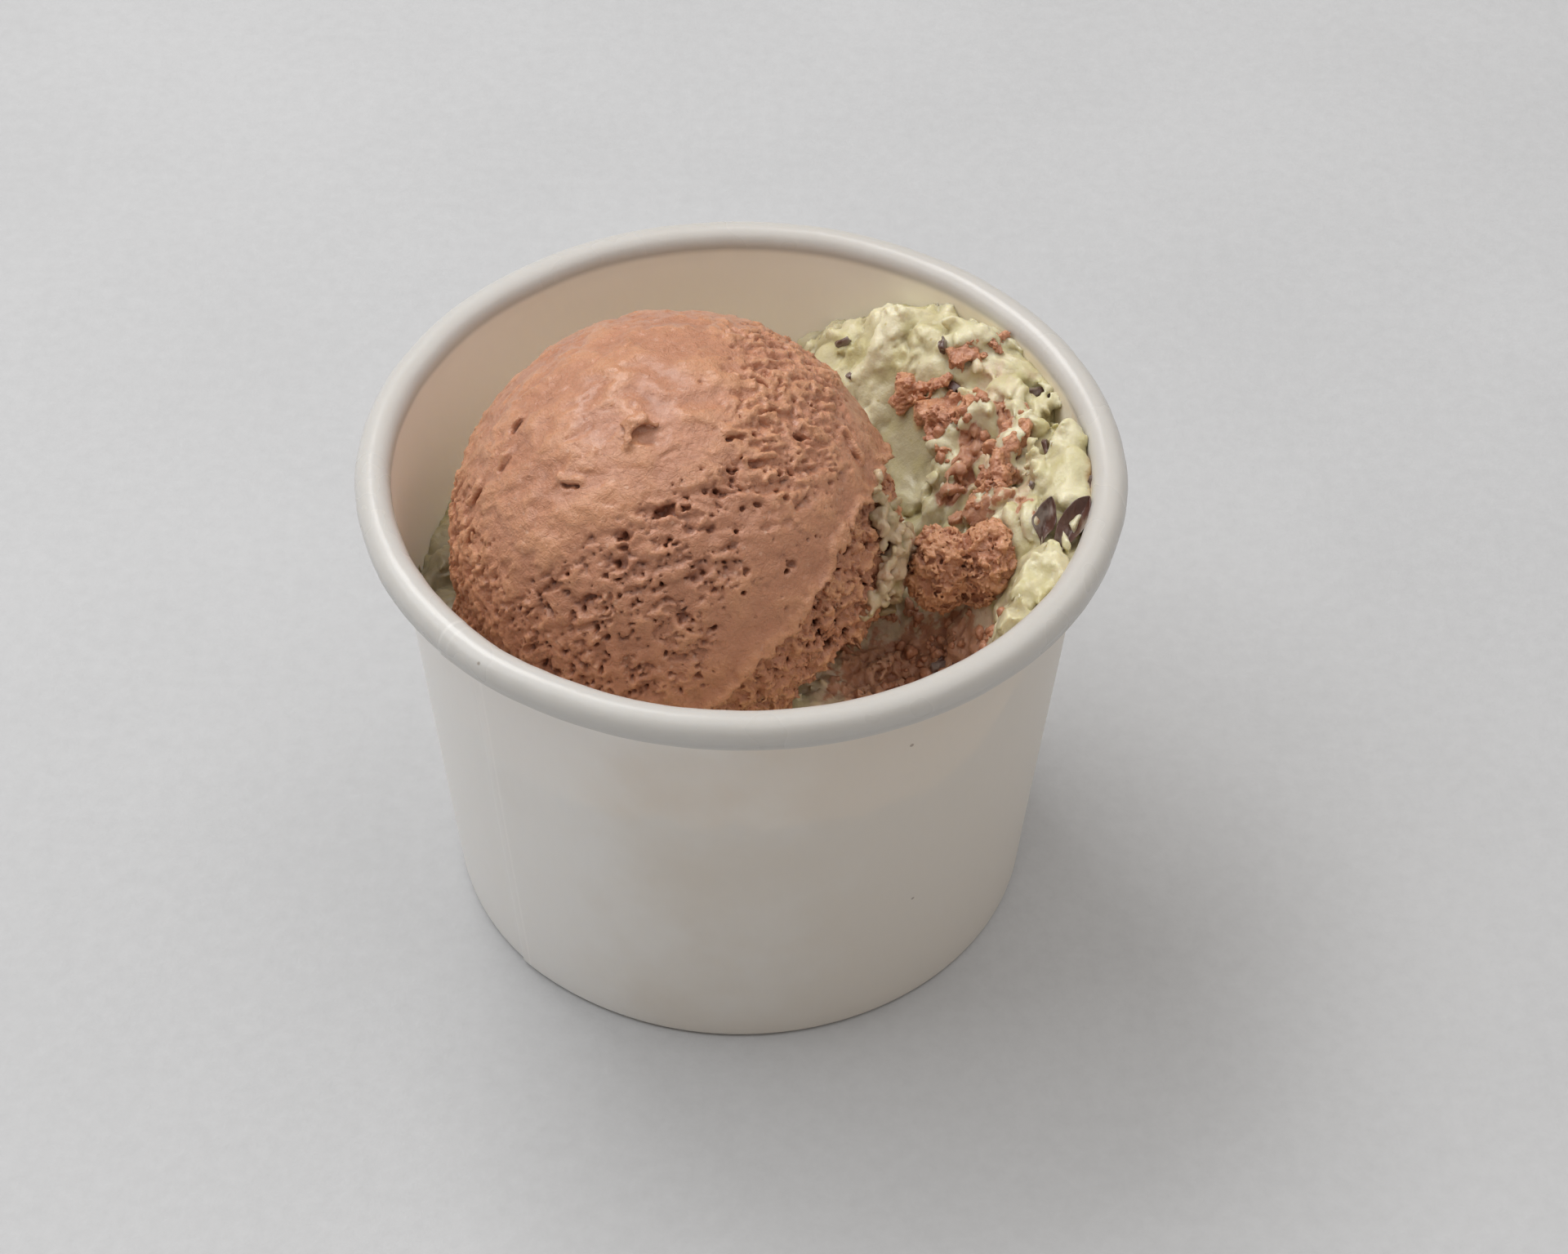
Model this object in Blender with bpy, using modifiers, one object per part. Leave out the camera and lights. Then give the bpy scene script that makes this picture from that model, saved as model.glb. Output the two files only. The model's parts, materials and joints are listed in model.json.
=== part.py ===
"""Gelato cup: a rolled-rim paper cup of pistachio gelato with one scoop of chocolate gelato.

Units are metres and +Z is up.  The origin is the centre of the cup's foot, on the
surface that the cup stands on.  The pistachio gelato leans up the +X wall as a bank,
and the scoop stands on the other side of the cup, towards -X and -Y.
"""

import math

import bpy
from mathutils import Matrix, Vector, noise

MM = 0.001

# Driving dimensions of the cup
RIM_RADIUS = 42.0 * MM
CUP_HEIGHT = 59.2 * MM
FOOT_RADIUS = 33.5 * MM
PAPER = 0.4 * MM
ROLL_RADIUS = 1.95 * MM
ROLL_TURN = math.radians(305)
DISC_HEIGHT = 6.4 * MM
FOLD_HEIGHT = 5.2 * MM
FLANGE_FOOT = 1.0 * MM
GAP = 0.3 * MM

# Driving dimensions of the gelato
SCOOP_RADIUS = 24.7 * MM
SCOOP_CENTRE = Vector((-7.1, -3.75, 50.0)) * MM
PLATE_STEP = 1.3 * MM
BED_HEIGHT = 38.5 * MM
BANK_RISE = 17.5 * MM
BANK_DIRECTION = math.radians(20)
BANK_SPREAD = math.radians(58)
LUMP_CENTRE = Vector((24.5, -6.3, 47.9)) * MM

# Fineness of the facets
WALL_STEPS = 54
BASE_STEPS = 48
GELATO_STEPS = 96
GELATO_RINGS = 30
SEAT_CLEARANCE = 0.15 * MM


def arc(centre_r, centre_z, radius, start, end, steps):
    """Points of a circular arc in the (r, z) plane, both ends included."""
    angles = [start + (end - start) * step / steps for step in range(steps + 1)]
    return [(centre_r + radius * math.cos(a), centre_z + radius * math.sin(a)) for a in angles]


def smoothstep(value):
    value = min(max(value, 0.0), 1.0)
    return value * value * (3.0 - 2.0 * value)


def smooth_max(first, second, blend):
    """The larger of two lengths, rounded over where they are within blend of each other."""
    overlap = max(blend - abs(first - second), 0.0) / blend
    return max(first, second) + overlap * overlap * blend / 4.0


def wall_radius(z):
    """Inner radius of the tapered wall at height z."""
    top_radius = RIM_RADIUS - 2.0 * ROLL_RADIUS
    foot_radius = FOOT_RADIUS - PAPER
    share = z / (CUP_HEIGHT - ROLL_RADIUS)
    return foot_radius + (top_radius - foot_radius) * share


def material(name, colour, roughness):
    surface = bpy.data.materials.new(name)
    surface.use_nodes = True
    shader = surface.node_tree.nodes["Principled BSDF"]
    shader.inputs["Base Color"].default_value = (*colour, 1.0)
    shader.inputs["Roughness"].default_value = roughness
    shader.inputs["Metallic"].default_value = 0.0
    surface.diffuse_color = (*colour, 1.0)
    return surface


def new_collection(name):
    collection = bpy.data.collections.new(name)
    bpy.context.scene.collection.children.link(collection)
    return collection


def shade_round(body, surface):
    body.data.materials.append(surface)
    body.data.shade_smooth()
    body.data.set_sharp_from_angle(angle=math.radians(40))


def turned(name, profile, steps, collection, closed):
    """A body turned about Z from (r, z) points that run down its outer side."""
    mesh = bpy.data.meshes.new(name)
    edges = [(i, i + 1) for i in range(len(profile) - 1)]
    if closed:
        edges.append((len(profile) - 1, 0))
    mesh.from_pydata([(r, 0.0, z) for r, z in profile], edges, [])
    body = bpy.data.objects.new(name, mesh)
    collection.objects.link(body)
    screw = body.modifiers.new("turn", 'SCREW')
    screw.axis = 'Z'
    screw.angle = math.tau
    screw.steps = steps
    screw.render_steps = steps
    screw.use_merge_vertices = True
    screw.merge_threshold = 0.00001
    return body


def use_evaluated_mesh(body):
    """Replace the body's mesh and modifiers by the mesh that they make."""
    graph = bpy.context.evaluated_depsgraph_get()
    mesh = bpy.data.meshes.new_from_object(body.evaluated_get(graph))
    body.modifiers.clear()
    body.data = mesh


def thin_out(body, triangles):
    """Collapse the flattest edges until about this many triangles are left."""
    body.data.calc_loop_triangles()
    decimate = body.modifiers.new("thin_out", 'DECIMATE')
    decimate.ratio = triangles / len(body.data.loop_triangles)


def build_cup_wall(collection, surface):
    """One sheet: the rolled rim, the tapered wall and the fold under the foot."""
    roll_r = RIM_RADIUS - ROLL_RADIUS
    roll_z = CUP_HEIGHT - ROLL_RADIUS
    inner_roll = ROLL_RADIUS - PAPER
    tip = math.pi - ROLL_TURN
    roll_outside = arc(roll_r, roll_z, ROLL_RADIUS, math.pi, tip, 12)
    roll_inside = arc(roll_r, roll_z, inner_roll, tip, math.pi, 8)

    fold_outer = FOOT_RADIUS - 2.0 * (PAPER + GAP)
    fold_inner = fold_outer - PAPER
    foot_round = 0.5 * PAPER
    foot = [
        (FOOT_RADIUS, foot_round),
        (FOOT_RADIUS - foot_round, 0.0),
        (fold_inner + foot_round, 0.0),
        (fold_inner, foot_round),
    ]
    fold_top = wall_radius(FOLD_HEIGHT) - PAPER - 2.0 * GAP
    fold = [
        (fold_top - PAPER, FOLD_HEIGHT),
        (fold_top, FOLD_HEIGHT),
        (fold_outer - 0.5 * GAP, PAPER),
        (wall_radius(PAPER), PAPER),
    ]
    wall = turned("cup_wall", roll_outside + roll_inside + foot + fold, WALL_STEPS, collection, True)
    shade_round(wall, surface)
    return wall


def build_cup_base(collection, surface):
    """The disc that closes the cup, with its edge turned down between wall and fold."""
    top = DISC_HEIGHT + PAPER
    edge = wall_radius(top) - GAP
    bend = 2.0 * PAPER
    profile = [(0.0, top), (edge - bend, top), (edge, top - bend)]
    profile.append((wall_radius(FLANGE_FOOT) - GAP, FLANGE_FOOT))
    profile.append((wall_radius(FLANGE_FOOT) - GAP - PAPER, FLANGE_FOOT))
    profile.append((wall_radius(DISC_HEIGHT - PAPER) - GAP - PAPER, DISC_HEIGHT - PAPER))
    profile.append((edge - bend, DISC_HEIGHT))
    profile.append((0.0, DISC_HEIGHT))
    base = turned("cup_base", profile, BASE_STEPS, collection, False)
    shade_round(base, surface)
    return base


def ray_exit(direction, centre, radii):
    """How far a ray from the origin runs before it leaves an ellipsoid, or 0 if it misses."""
    start = Vector([-c / r for c, r in zip(centre, radii)])
    step = Vector([d / r for d, r in zip(direction, radii)])
    a, b, c = step.dot(step), start.dot(step), start.dot(start) - 1.0
    inside = b * b - a * c
    return max((math.sqrt(inside) - b) / a, 0.0) if inside > 0.0 else 0.0


def lobed_radius(direction, lobes, blend):
    """Distance from the origin to the rounded union of the lobes, (centre, radii) pairs."""
    reach = 0.0
    for centre, radii in lobes:
        reach = smooth_max(reach, ray_exit(direction, centre, radii), blend)
    return reach


def lobed_body(name, centre, reach, subdivisions, collection):
    """An icosphere whose points are moved out to reach(direction) from its centre."""
    bpy.ops.mesh.primitive_ico_sphere_add(subdivisions=subdivisions, radius=1.0)
    body = bpy.context.active_object
    body.name = name
    body.data.name = name
    body.location = centre
    for vertex in body.data.vertices:
        direction = vertex.co.normalized()
        vertex.co = direction * reach(direction)
    for owner in body.users_collection:
        owner.objects.unlink(body)
    collection.objects.link(body)
    return body


def plate_edge(direction):
    """How far, in radians, a direction lies beyond the ragged edge of the scooped plate.

    The edge is part of a circle about the plate's own centre on the scoop.
    """
    plate_centre = Vector((-0.42, -0.62, 0.66)).normalized()
    plate_size = math.radians(61)
    ragged = 0.05 * noise.noise(direction * 7.0)
    return direction.angle(plate_centre) - plate_size + ragged


SCOOP_LOBES = [
    (Vector((0.0, 0.0, 0.0)), Vector((1.0, 1.0, 1.0)) * SCOOP_RADIUS),
    (Vector((17.5, -13.0, -10.5)) * MM, Vector((6.5, 8.5, 8.0)) * MM),
    (Vector((15.0, 0.5, 0.5)) * MM, Vector((11.0, 12.0, 13.0)) * MM),
    (Vector((-12.0, -6.0, -9.0)) * MM, Vector((13.0, 14.0, 9.0)) * MM),
]


def scoop_reach(direction):
    """The scoop: a ball with a torn skirt, stepped down beyond the scooped plate's edge."""
    reach = lobed_radius(direction, SCOOP_LOBES, 2.0 * MM)
    beyond = smoothstep(plate_edge(direction) / 0.06)
    facing = smoothstep((direction.x + 0.1) / 0.3) * smoothstep((0.75 - direction.z) / 0.3)
    reach -= PLATE_STEP * beyond * facing
    return reach + 0.35 * MM * noise.noise(direction * 4.0)


def build_scoop(collection, surface):
    scoop = lobed_body("chocolate_scoop", SCOOP_CENTRE, scoop_reach, 5, collection)
    thin_out(scoop, 1800)
    shade_round(scoop, surface)
    return scoop


LUMP_LOBES = [
    (Vector((-2.9, 0.0, -0.2)) * MM, Vector((3.6, 4.2, 5.2)) * MM),
    (Vector((2.6, 0.3, 0.2)) * MM, Vector((3.8, 4.4, 5.4)) * MM),
]


def lump_reach(direction):
    """The torn lump: two joined lobes."""
    return lobed_radius(direction, LUMP_LOBES, 1.5 * MM) + 0.4 * MM * noise.noise(direction * 3.0)


def build_lump(collection, surface):
    lump = lobed_body("chocolate_lump", LUMP_CENTRE, lump_reach, 4, collection)
    thin_out(lump, 420)
    shade_round(lump, surface)
    return lump


# Bulges of the bank: direction in degrees, distance from the axis, width and rise in mm
BANK_BULGES = [
    (72.0, 33.0, 4.0, 2.0),
    (58.0, 33.0, 4.5, 1.6),
    (43.0, 32.5, 4.5, 1.8),
    (29.0, 31.0, 4.0, 1.2),
    (6.0, 33.0, 4.5, 2.6),
    (-20.0, 34.0, 3.5, 2.8),
    (-31.0, 34.5, 3.5, 6.0),
    (-38.0, 35.0, 2.5, 4.5),
    (18.0, 37.0, 3.0, -4.0),
    (50.0, 24.0, 4.0, -2.0),
]
HOLLOW_CENTRE = (21.5 * MM, -13.5 * MM)
HOLLOW_RADIUS = 8.5 * MM
HOLLOW_DEPTH = 7.0 * MM


def hump(x, y, centre_x, centre_y, width):
    """A smooth hump, 1 at its centre."""
    away = math.hypot(x - centre_x, y - centre_y) / width
    return math.exp(-away * away)


def gelato_height(x, y):
    """Height of the pistachio gelato's free surface above the point (x, y)."""
    turn = (math.atan2(y, x) - BANK_DIRECTION + math.pi) % math.tau - math.pi
    bank = math.exp(-(turn / BANK_SPREAD) ** 4)
    slope = smoothstep((math.hypot(x, y) - 15.0 * MM) / (21.0 * MM))
    height = BED_HEIGHT + BANK_RISE * bank * slope
    height -= HOLLOW_DEPTH * hump(x, y, *HOLLOW_CENTRE, HOLLOW_RADIUS)
    for degrees, distance, width, rise in BANK_BULGES:
        angle = math.radians(degrees)
        centre = (distance * math.cos(angle) * MM, distance * math.sin(angle) * MM)
        height += rise * MM * hump(x, y, *centre, width * MM)
    place = Vector((x, y, 0.0))
    billow = noise.noise(place * 110.0) + 0.5 * noise.noise(place * 240.0)
    return height + 1.8 * MM * billow * (0.35 + 0.65 * bank)


def surface_normal(x, y):
    """Upward normal of the pistachio gelato's free surface above (x, y)."""
    step = 0.5 * MM
    slope_x = gelato_height(x + step, y) - gelato_height(x - step, y)
    slope_y = gelato_height(x, y + step) - gelato_height(x, y - step)
    return Vector((-slope_x, -slope_y, 2.0 * step)).normalized()


def turn_to(body, long_axis, face):
    """Turn the body so that its X runs along long_axis and its Z looks along face."""
    x_axis = long_axis.normalized()
    y_axis = face.cross(x_axis).normalized()
    z_axis = x_axis.cross(y_axis)
    body.rotation_euler = Matrix((x_axis, y_axis, z_axis)).transposed().to_euler()


# Chocolate patches smeared on the bank: place and half sizes in mm, heading in degrees
PATCHES = [
    ((26.1, 20.3), (2.9, 2.5, 1.7), 0.0),
    ((21.2, 20.2), (3.8, 1.8, 1.4), 10.0),
    ((23.5, 12.6), (4.4, 2.6, 1.6), 80.0),
    ((27.6, 4.6), (3.0, 2.6, 1.3), 45.0),
]


def build_patch(number, place, half_size, heading, collection, surface):
    """A flat dab of chocolate gelato that lies on the bank, its long side along its heading."""
    x, y = place[0] * MM, place[1] * MM
    lobes = [(Vector((0.0, 0.0, 0.0)), Vector(half_size) * MM)]

    def reach(direction):
        return lobed_radius(direction, lobes, MM) + 0.35 * MM * noise.noise(direction * 2.0)

    location = Vector((x, y, gelato_height(x, y) + 0.3 * MM))
    patch = lobed_body(f"chocolate_patch_{number}", location, reach, 3, collection)
    normal = surface_normal(x, y)
    angle = math.radians(heading)
    flat_axis = Vector((math.cos(angle), math.sin(angle), 0.0))
    turn_to(patch, flat_axis - normal * flat_axis.dot(normal), normal)
    thin_out(patch, 110)
    shade_round(patch, surface)
    return patch


# Nut skins: centre, long axis, the way the hollow side looks, half length and half width in mm
SKINS = [
    ((31.4, -7.3, 53.6), (0.12, 0.62, 0.78), (-0.45, -0.75, 0.45), 3.5, 1.7),
    ((35.0, -8.8, 55.3), (0.50, 0.62, 0.45), (-0.60, -0.35, 0.70), 3.3, 1.8),
    ((36.2, -3.2, 56.9), (0.25, 0.85, 0.35), (-0.80, 0.00, 0.60), 1.8, 1.0),
]
SKIN_THICKNESS = 0.7 * MM


def build_skin(number, centre, long_axis, face, half_length, half_width, collection, surface):
    """A curled nut skin: a pointed leaf, hollow along and across, with its thickness."""
    bpy.ops.mesh.primitive_grid_add(x_subdivisions=7, y_subdivisions=3, size=2.0)
    skin = bpy.context.active_object
    skin.name = f"nut_skin_{number}"
    skin.data.name = skin.name
    for vertex in skin.data.vertices:
        along, across = vertex.co.x, vertex.co.y
        width = half_width * MM * (0.18 + 0.82 * math.sqrt(max(1.0 - along * along, 0.0)))
        curl = 0.45 * half_width * across * across + 0.25 * half_length * along * along
        vertex.co = (along * half_length * MM, across * width, curl * MM)
    thicken = skin.modifiers.new("thicken", 'SOLIDIFY')
    thicken.thickness = SKIN_THICKNESS
    thicken.offset = 0.0
    skin.location = Vector(centre) * MM
    turn_to(skin, Vector(long_axis), Vector(face))
    for owner in skin.users_collection:
        owner.objects.unlink(skin)
    collection.objects.link(skin)
    shade_round(skin, surface)
    return skin


def build_pistachio(collection, cutters, surface):
    """The pistachio gelato fills the cup up to an uneven top, with beds for what is in it."""
    bottom = DISC_HEIGHT + PAPER + GAP
    top_radius = wall_radius(BED_HEIGHT) - GAP
    profile = [(top_radius * ring / GELATO_RINGS, BED_HEIGHT) for ring in range(GELATO_RINGS + 1)]
    profile += [(wall_radius(bottom) - GAP, bottom), (0.0, bottom)]
    gelato = turned("pistachio_gelato", profile, GELATO_STEPS, collection, False)
    use_evaluated_mesh(gelato)
    for vertex in gelato.data.vertices:
        if vertex.co.z > bottom + GAP:
            height = gelato_height(vertex.co.x, vertex.co.y)
            stretch = (wall_radius(height) - GAP) / top_radius
            vertex.co = (vertex.co.x * stretch, vertex.co.y * stretch, height)
    thin_out(gelato, 2050)
    for cutter in cutters:
        bed = gelato.modifiers.new("bed_" + cutter.name, 'BOOLEAN')
        bed.operation = 'DIFFERENCE'
        # The thin, tightly curled skins defeat the exact solver, and every mesh here is closed
        bed.solver = 'MANIFOLD' if cutter.name.startswith("nut_skin") else 'EXACT'
        bed.object = cutter
    shade_round(gelato, surface)
    return gelato


def bed_cutter(body, collection):
    """The body's own shape grown by the gap, which cuts the bed that it sits in."""
    cutter = body.copy()
    cutter.name = body.name + "_bed"
    grow = cutter.modifiers.new("grow", 'DISPLACE')
    grow.strength = GAP + SEAT_CLEARANCE
    grow.mid_level = 0.0
    cutter.hide_render = True
    cutter.display_type = 'WIRE'
    collection.objects.link(cutter)
    return cutter


def clear_scene():
    for body in list(bpy.data.objects):
        bpy.data.objects.remove(body, do_unlink=True)


def main():
    clear_scene()
    parts = new_collection("gelato_cup")
    guides = new_collection("cutters")
    paper = material("paper_white", (0.78, 0.77, 0.74), 0.45)
    chocolate = material("gelato_chocolate", (0.36, 0.17, 0.10), 0.55)
    pistachio = material("gelato_pistachio", (0.66, 0.62, 0.36), 0.5)
    skin_brown = material("nut_skin", (0.06, 0.03, 0.025), 0.35)

    build_cup_wall(parts, paper)
    build_cup_base(parts, paper)
    sunk = [build_scoop(parts, chocolate), build_lump(parts, chocolate)]
    for number, patch in enumerate(PATCHES, start=1):
        sunk.append(build_patch(number, *patch, parts, chocolate))
    for number, skin in enumerate(SKINS, start=1):
        sunk.append(build_skin(number, *skin, parts, skin_brown))
    beds = [bed_cutter(body, guides) for body in sunk]
    build_pistachio(parts, beds, pistachio)


main()
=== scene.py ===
"""Gelato cup: a rolled-rim paper cup of pistachio gelato with a scoop of chocolate gelato.

Units are metres and +Z is up.  The origin is the centre of the cup's foot.  The relief of
the gelato is worked out in millimetres, as a depth below the surface that is positive inside.
"""

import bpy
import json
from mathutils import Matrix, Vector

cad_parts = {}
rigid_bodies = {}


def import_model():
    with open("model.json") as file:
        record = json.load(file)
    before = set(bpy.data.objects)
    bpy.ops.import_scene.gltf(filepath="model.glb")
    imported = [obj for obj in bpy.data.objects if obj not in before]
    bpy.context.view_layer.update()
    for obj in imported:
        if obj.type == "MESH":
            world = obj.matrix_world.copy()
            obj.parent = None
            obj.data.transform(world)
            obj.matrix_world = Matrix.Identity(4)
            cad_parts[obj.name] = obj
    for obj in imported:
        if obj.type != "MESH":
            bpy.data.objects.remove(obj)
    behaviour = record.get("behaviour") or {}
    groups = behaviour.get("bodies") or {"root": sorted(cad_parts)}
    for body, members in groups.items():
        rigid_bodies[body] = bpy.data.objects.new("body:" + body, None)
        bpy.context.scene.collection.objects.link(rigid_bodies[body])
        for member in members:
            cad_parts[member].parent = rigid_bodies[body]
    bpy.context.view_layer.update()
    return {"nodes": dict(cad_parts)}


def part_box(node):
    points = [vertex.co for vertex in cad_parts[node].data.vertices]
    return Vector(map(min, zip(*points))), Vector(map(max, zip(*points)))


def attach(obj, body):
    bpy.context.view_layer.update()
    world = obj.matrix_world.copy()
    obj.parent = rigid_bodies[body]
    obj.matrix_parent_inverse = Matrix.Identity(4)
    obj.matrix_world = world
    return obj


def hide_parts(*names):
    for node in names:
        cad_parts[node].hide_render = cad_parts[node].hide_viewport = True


bl_info = {
    "name": "Gelato Cup",
    "version": (1, 0, 0),
    "blender": (4, 5, 0),
    "location": "3D View > Sidebar > Gelato",
    "description": "Builds a paper cup of pistachio gelato with a scoop of chocolate gelato",
    "category": "Add Mesh",
}

import json
import math
import random

import bpy
from bpy.props import FloatProperty, FloatVectorProperty, PointerProperty
from mathutils import Matrix, Vector, noise

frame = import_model()

MM = 0.001

# Sizes that the frame gives, in metres
CUP_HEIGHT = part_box("cup_wall")[1].z
RIM_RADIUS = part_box("cup_wall")[1].x
GELATO_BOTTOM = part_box("pistachio_gelato")[0].z
FOOT_RADIUS = max(
    math.hypot(vertex.co.x, vertex.co.y)
    for vertex in frame["nodes"]["cup_wall"].data.vertices
    if vertex.co.z < 0.5 * MM
)

# The paper's thickness, the roll's width and the height of its middle, in mm
PAPER = 0.4
ROLL_WIDTH = 3.9
ROLL_MIDDLE = 57.25


def wall_radius(z):
    """Inner radius of the tapered wall at height z, a number or a wire, in mm."""
    foot = FOOT_RADIUS / MM - PAPER
    top = RIM_RADIUS / MM - ROLL_WIDTH
    return z * ((top - foot) / ROLL_MIDDLE) + foot


# ---------------------------------------------------------------- expressions on node sockets

class Wire:
    """An output socket of a node, to be used in Python expressions."""

    def __init__(self, sheet, socket):
        self.sheet = sheet
        self.socket = socket

    def maths(self, operation, *values):
        """A Math node on numbers, or a Vector Math node where a value is a vector or a colour."""
        if not any(is_vector(value) for value in values):
            return self.sheet.add('ShaderNodeMath', {'operation': operation}, dict(enumerate(values)))
        values = [(value,) * 3 if isinstance(value, (int, float)) else value for value in values]
        return self.sheet.add('ShaderNodeVectorMath', {'operation': operation}, dict(enumerate(values)))

    def __add__(self, other):
        return self.maths('ADD', self, other)

    def __radd__(self, other):
        return self.maths('ADD', other, self)

    def __sub__(self, other):
        return self.maths('SUBTRACT', self, other)

    def __rsub__(self, other):
        return self.maths('SUBTRACT', other, self)

    def __mul__(self, other):
        return self.maths('MULTIPLY', self, other)

    def __rmul__(self, other):
        return self.maths('MULTIPLY', other, self)

    def __truediv__(self, other):
        return self.maths('DIVIDE', self, other)

    def __neg__(self):
        return self.maths('MULTIPLY', self, -1.0)

    def __pow__(self, other):
        return self.maths('POWER', self, other)

    def least(self, other):
        return self.maths('MINIMUM', self, other)

    def most(self, other):
        return self.maths('MAXIMUM', self, other)

    def smooth_least(self, other, blend):
        return self.maths('SMOOTH_MIN', self, other, blend)

    def smooth_most(self, other, blend):
        return self.maths('SMOOTH_MAX', self, other, blend)

    def unary(self, operation):
        return self.maths(operation, self)

    def length(self):
        return self.sheet.add('ShaderNodeVectorMath', {'operation': 'LENGTH'}, {0: self}, 'Value')

    def dot(self, other):
        settings = {'operation': 'DOT_PRODUCT'}
        return self.sheet.add('ShaderNodeVectorMath', settings, {0: self, 1: other}, 'Value')

    def unit(self):
        return self.sheet.add('ShaderNodeVectorMath', {'operation': 'NORMALIZE'}, {0: self})

    def parts(self):
        """The x, y and z of a vector."""
        split = self.sheet.add('ShaderNodeSeparateXYZ', {}, {0: self})
        return [Wire(self.sheet, output) for output in split.socket.node.outputs]

    def other(self, name):
        """Another output of the same node."""
        return Wire(self.sheet, self.socket.node.outputs[name])

    def rise(self, low, high):
        """A soft step: 0 where this is low, 1 where it is high."""
        if low > high:
            return 1.0 - self.rise(high, low)
        settings = {'interpolation_type': 'SMOOTHSTEP'}
        return self.sheet.add('ShaderNodeMapRange', settings, {0: self, 1: low, 2: high})

    def mix(self, first, second):
        """The first colour where this is 0 and the second where it is 1."""
        return self.sheet.add('ShaderNodeMix', {'data_type': 'RGBA'}, {0: self, 6: first, 7: second}, 2)


def is_vector(value):
    if isinstance(value, Wire):
        return value.socket.type in {'VECTOR', 'RGBA'}
    return isinstance(value, (tuple, Vector))


class Sheet:
    """A node tree that expressions are written on."""

    def __init__(self, tree):
        self.tree = tree

    def add(self, kind, settings, values, output=0):
        """Adds a node: its settings first, then the values or links of its inputs."""
        node = self.tree.nodes.new(kind)
        for name, value in settings.items():
            setattr(node, name, value)
        for name, value in values.items():
            self.feed(node.inputs[name], value)
        return Wire(self, node.outputs[output])

    def feed(self, socket, value):
        if isinstance(value, Wire):
            self.tree.links.new(value.socket, socket)
        elif socket.type == 'RGBA' and len(value) == 3:
            socket.default_value = (*value, 1.0)
        else:
            socket.default_value = value

    def noise(self, place, size, detail=2.0, roughness=0.5, distortion=0.0, flat=False):
        """Soft noise from about -1 to 1 whose features are size mm across."""
        values = {'Vector': place, 'Scale': 1.0 / size, 'Detail': detail}
        values.update({'Roughness': roughness, 'Distortion': distortion})
        settings = {'noise_dimensions': '2D' if flat else '3D'}
        return self.add('ShaderNodeTexNoise', settings, values) * 2.0 - 1.0

    def swirl(self, place, size, flat=False):
        """Three noises at once, each from about -1 to 1."""
        values = {'Vector': place, 'Scale': 1.0 / size, 'Detail': 1.0}
        settings = {'noise_dimensions': '2D' if flat else '3D'}
        return self.add('ShaderNodeTexNoise', settings, values, 'Color') * 2.0 - 1.0

    def cells(self, place, size):
        """Distance in mm to the nearest of scattered points about size mm apart."""
        return self.add('ShaderNodeTexVoronoi', {}, {'Vector': place, 'Scale': 1.0 / size}) * size

    def scatter(self, place, size):
        """Distance in mm to the nearest of points scattered on a plane, and its two random numbers."""
        values = {'Vector': place, 'Scale': 1.0 / size}
        nearest = self.add('ShaderNodeTexVoronoi', {'voronoi_dimensions': '2D'}, values)
        first, second, _ = nearest.other('Color').parts()
        return nearest * size, first, second

    def join(self, x, y, z):
        return self.add('ShaderNodeCombineXYZ', {}, {0: x, 1: y, 2: z})


# ---------------------------------------------------------------- modelling helpers

# Most triangles of one carved piece
MOST_TRIANGLES = 190000
# How fast the density rises inwards per mm, and its value at the surface
DENSITY_RISE = 0.25
DENSITY_EDGE = 0.5
# The body of a piece has at least this share of its points; other islands are flecks or bubbles
BODY_SHARE = 0.4
SEED_STRIDE = 200


def deselect_all():
    for body in bpy.context.selected_objects:
        body.select_set(False)


def named_start(name):
    """The object that was just made, under its own name."""
    body = bpy.context.active_object
    body.name = name
    body.data.name = name
    return body


def apply_modifiers(body):
    for modifier in list(body.modifiers):
        bpy.ops.object.modifier_apply(modifier=modifier.name)


def count_triangles(mesh):
    mesh.calc_loop_triangles()
    return len(mesh.loop_triangles)


def keep_one_island(body, seed):
    """Deletes loose flecks and sealed bubbles: all but the large island nearest the seed."""
    mesh = body.data
    bpy.ops.object.mode_set(mode='EDIT')
    bpy.ops.mesh.select_mode(type='VERT')
    away = [(vertex.co - seed).length_squared for vertex in mesh.vertices]
    nearby = sorted(range(len(away)), key=away.__getitem__)
    for index in nearby[::SEED_STRIDE]:
        bpy.ops.mesh.select_all(action='DESELECT')
        bpy.ops.object.mode_set(mode='OBJECT')
        mesh.vertices[index].select = True
        bpy.ops.object.mode_set(mode='EDIT')
        bpy.ops.mesh.select_linked()
        if mesh.count_selected_items()[0] > BODY_SHARE * len(mesh.vertices):
            break
    bpy.ops.mesh.select_all(action='INVERT')
    bpy.ops.mesh.delete(type='VERT')
    bpy.ops.object.mode_set(mode='OBJECT')


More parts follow.
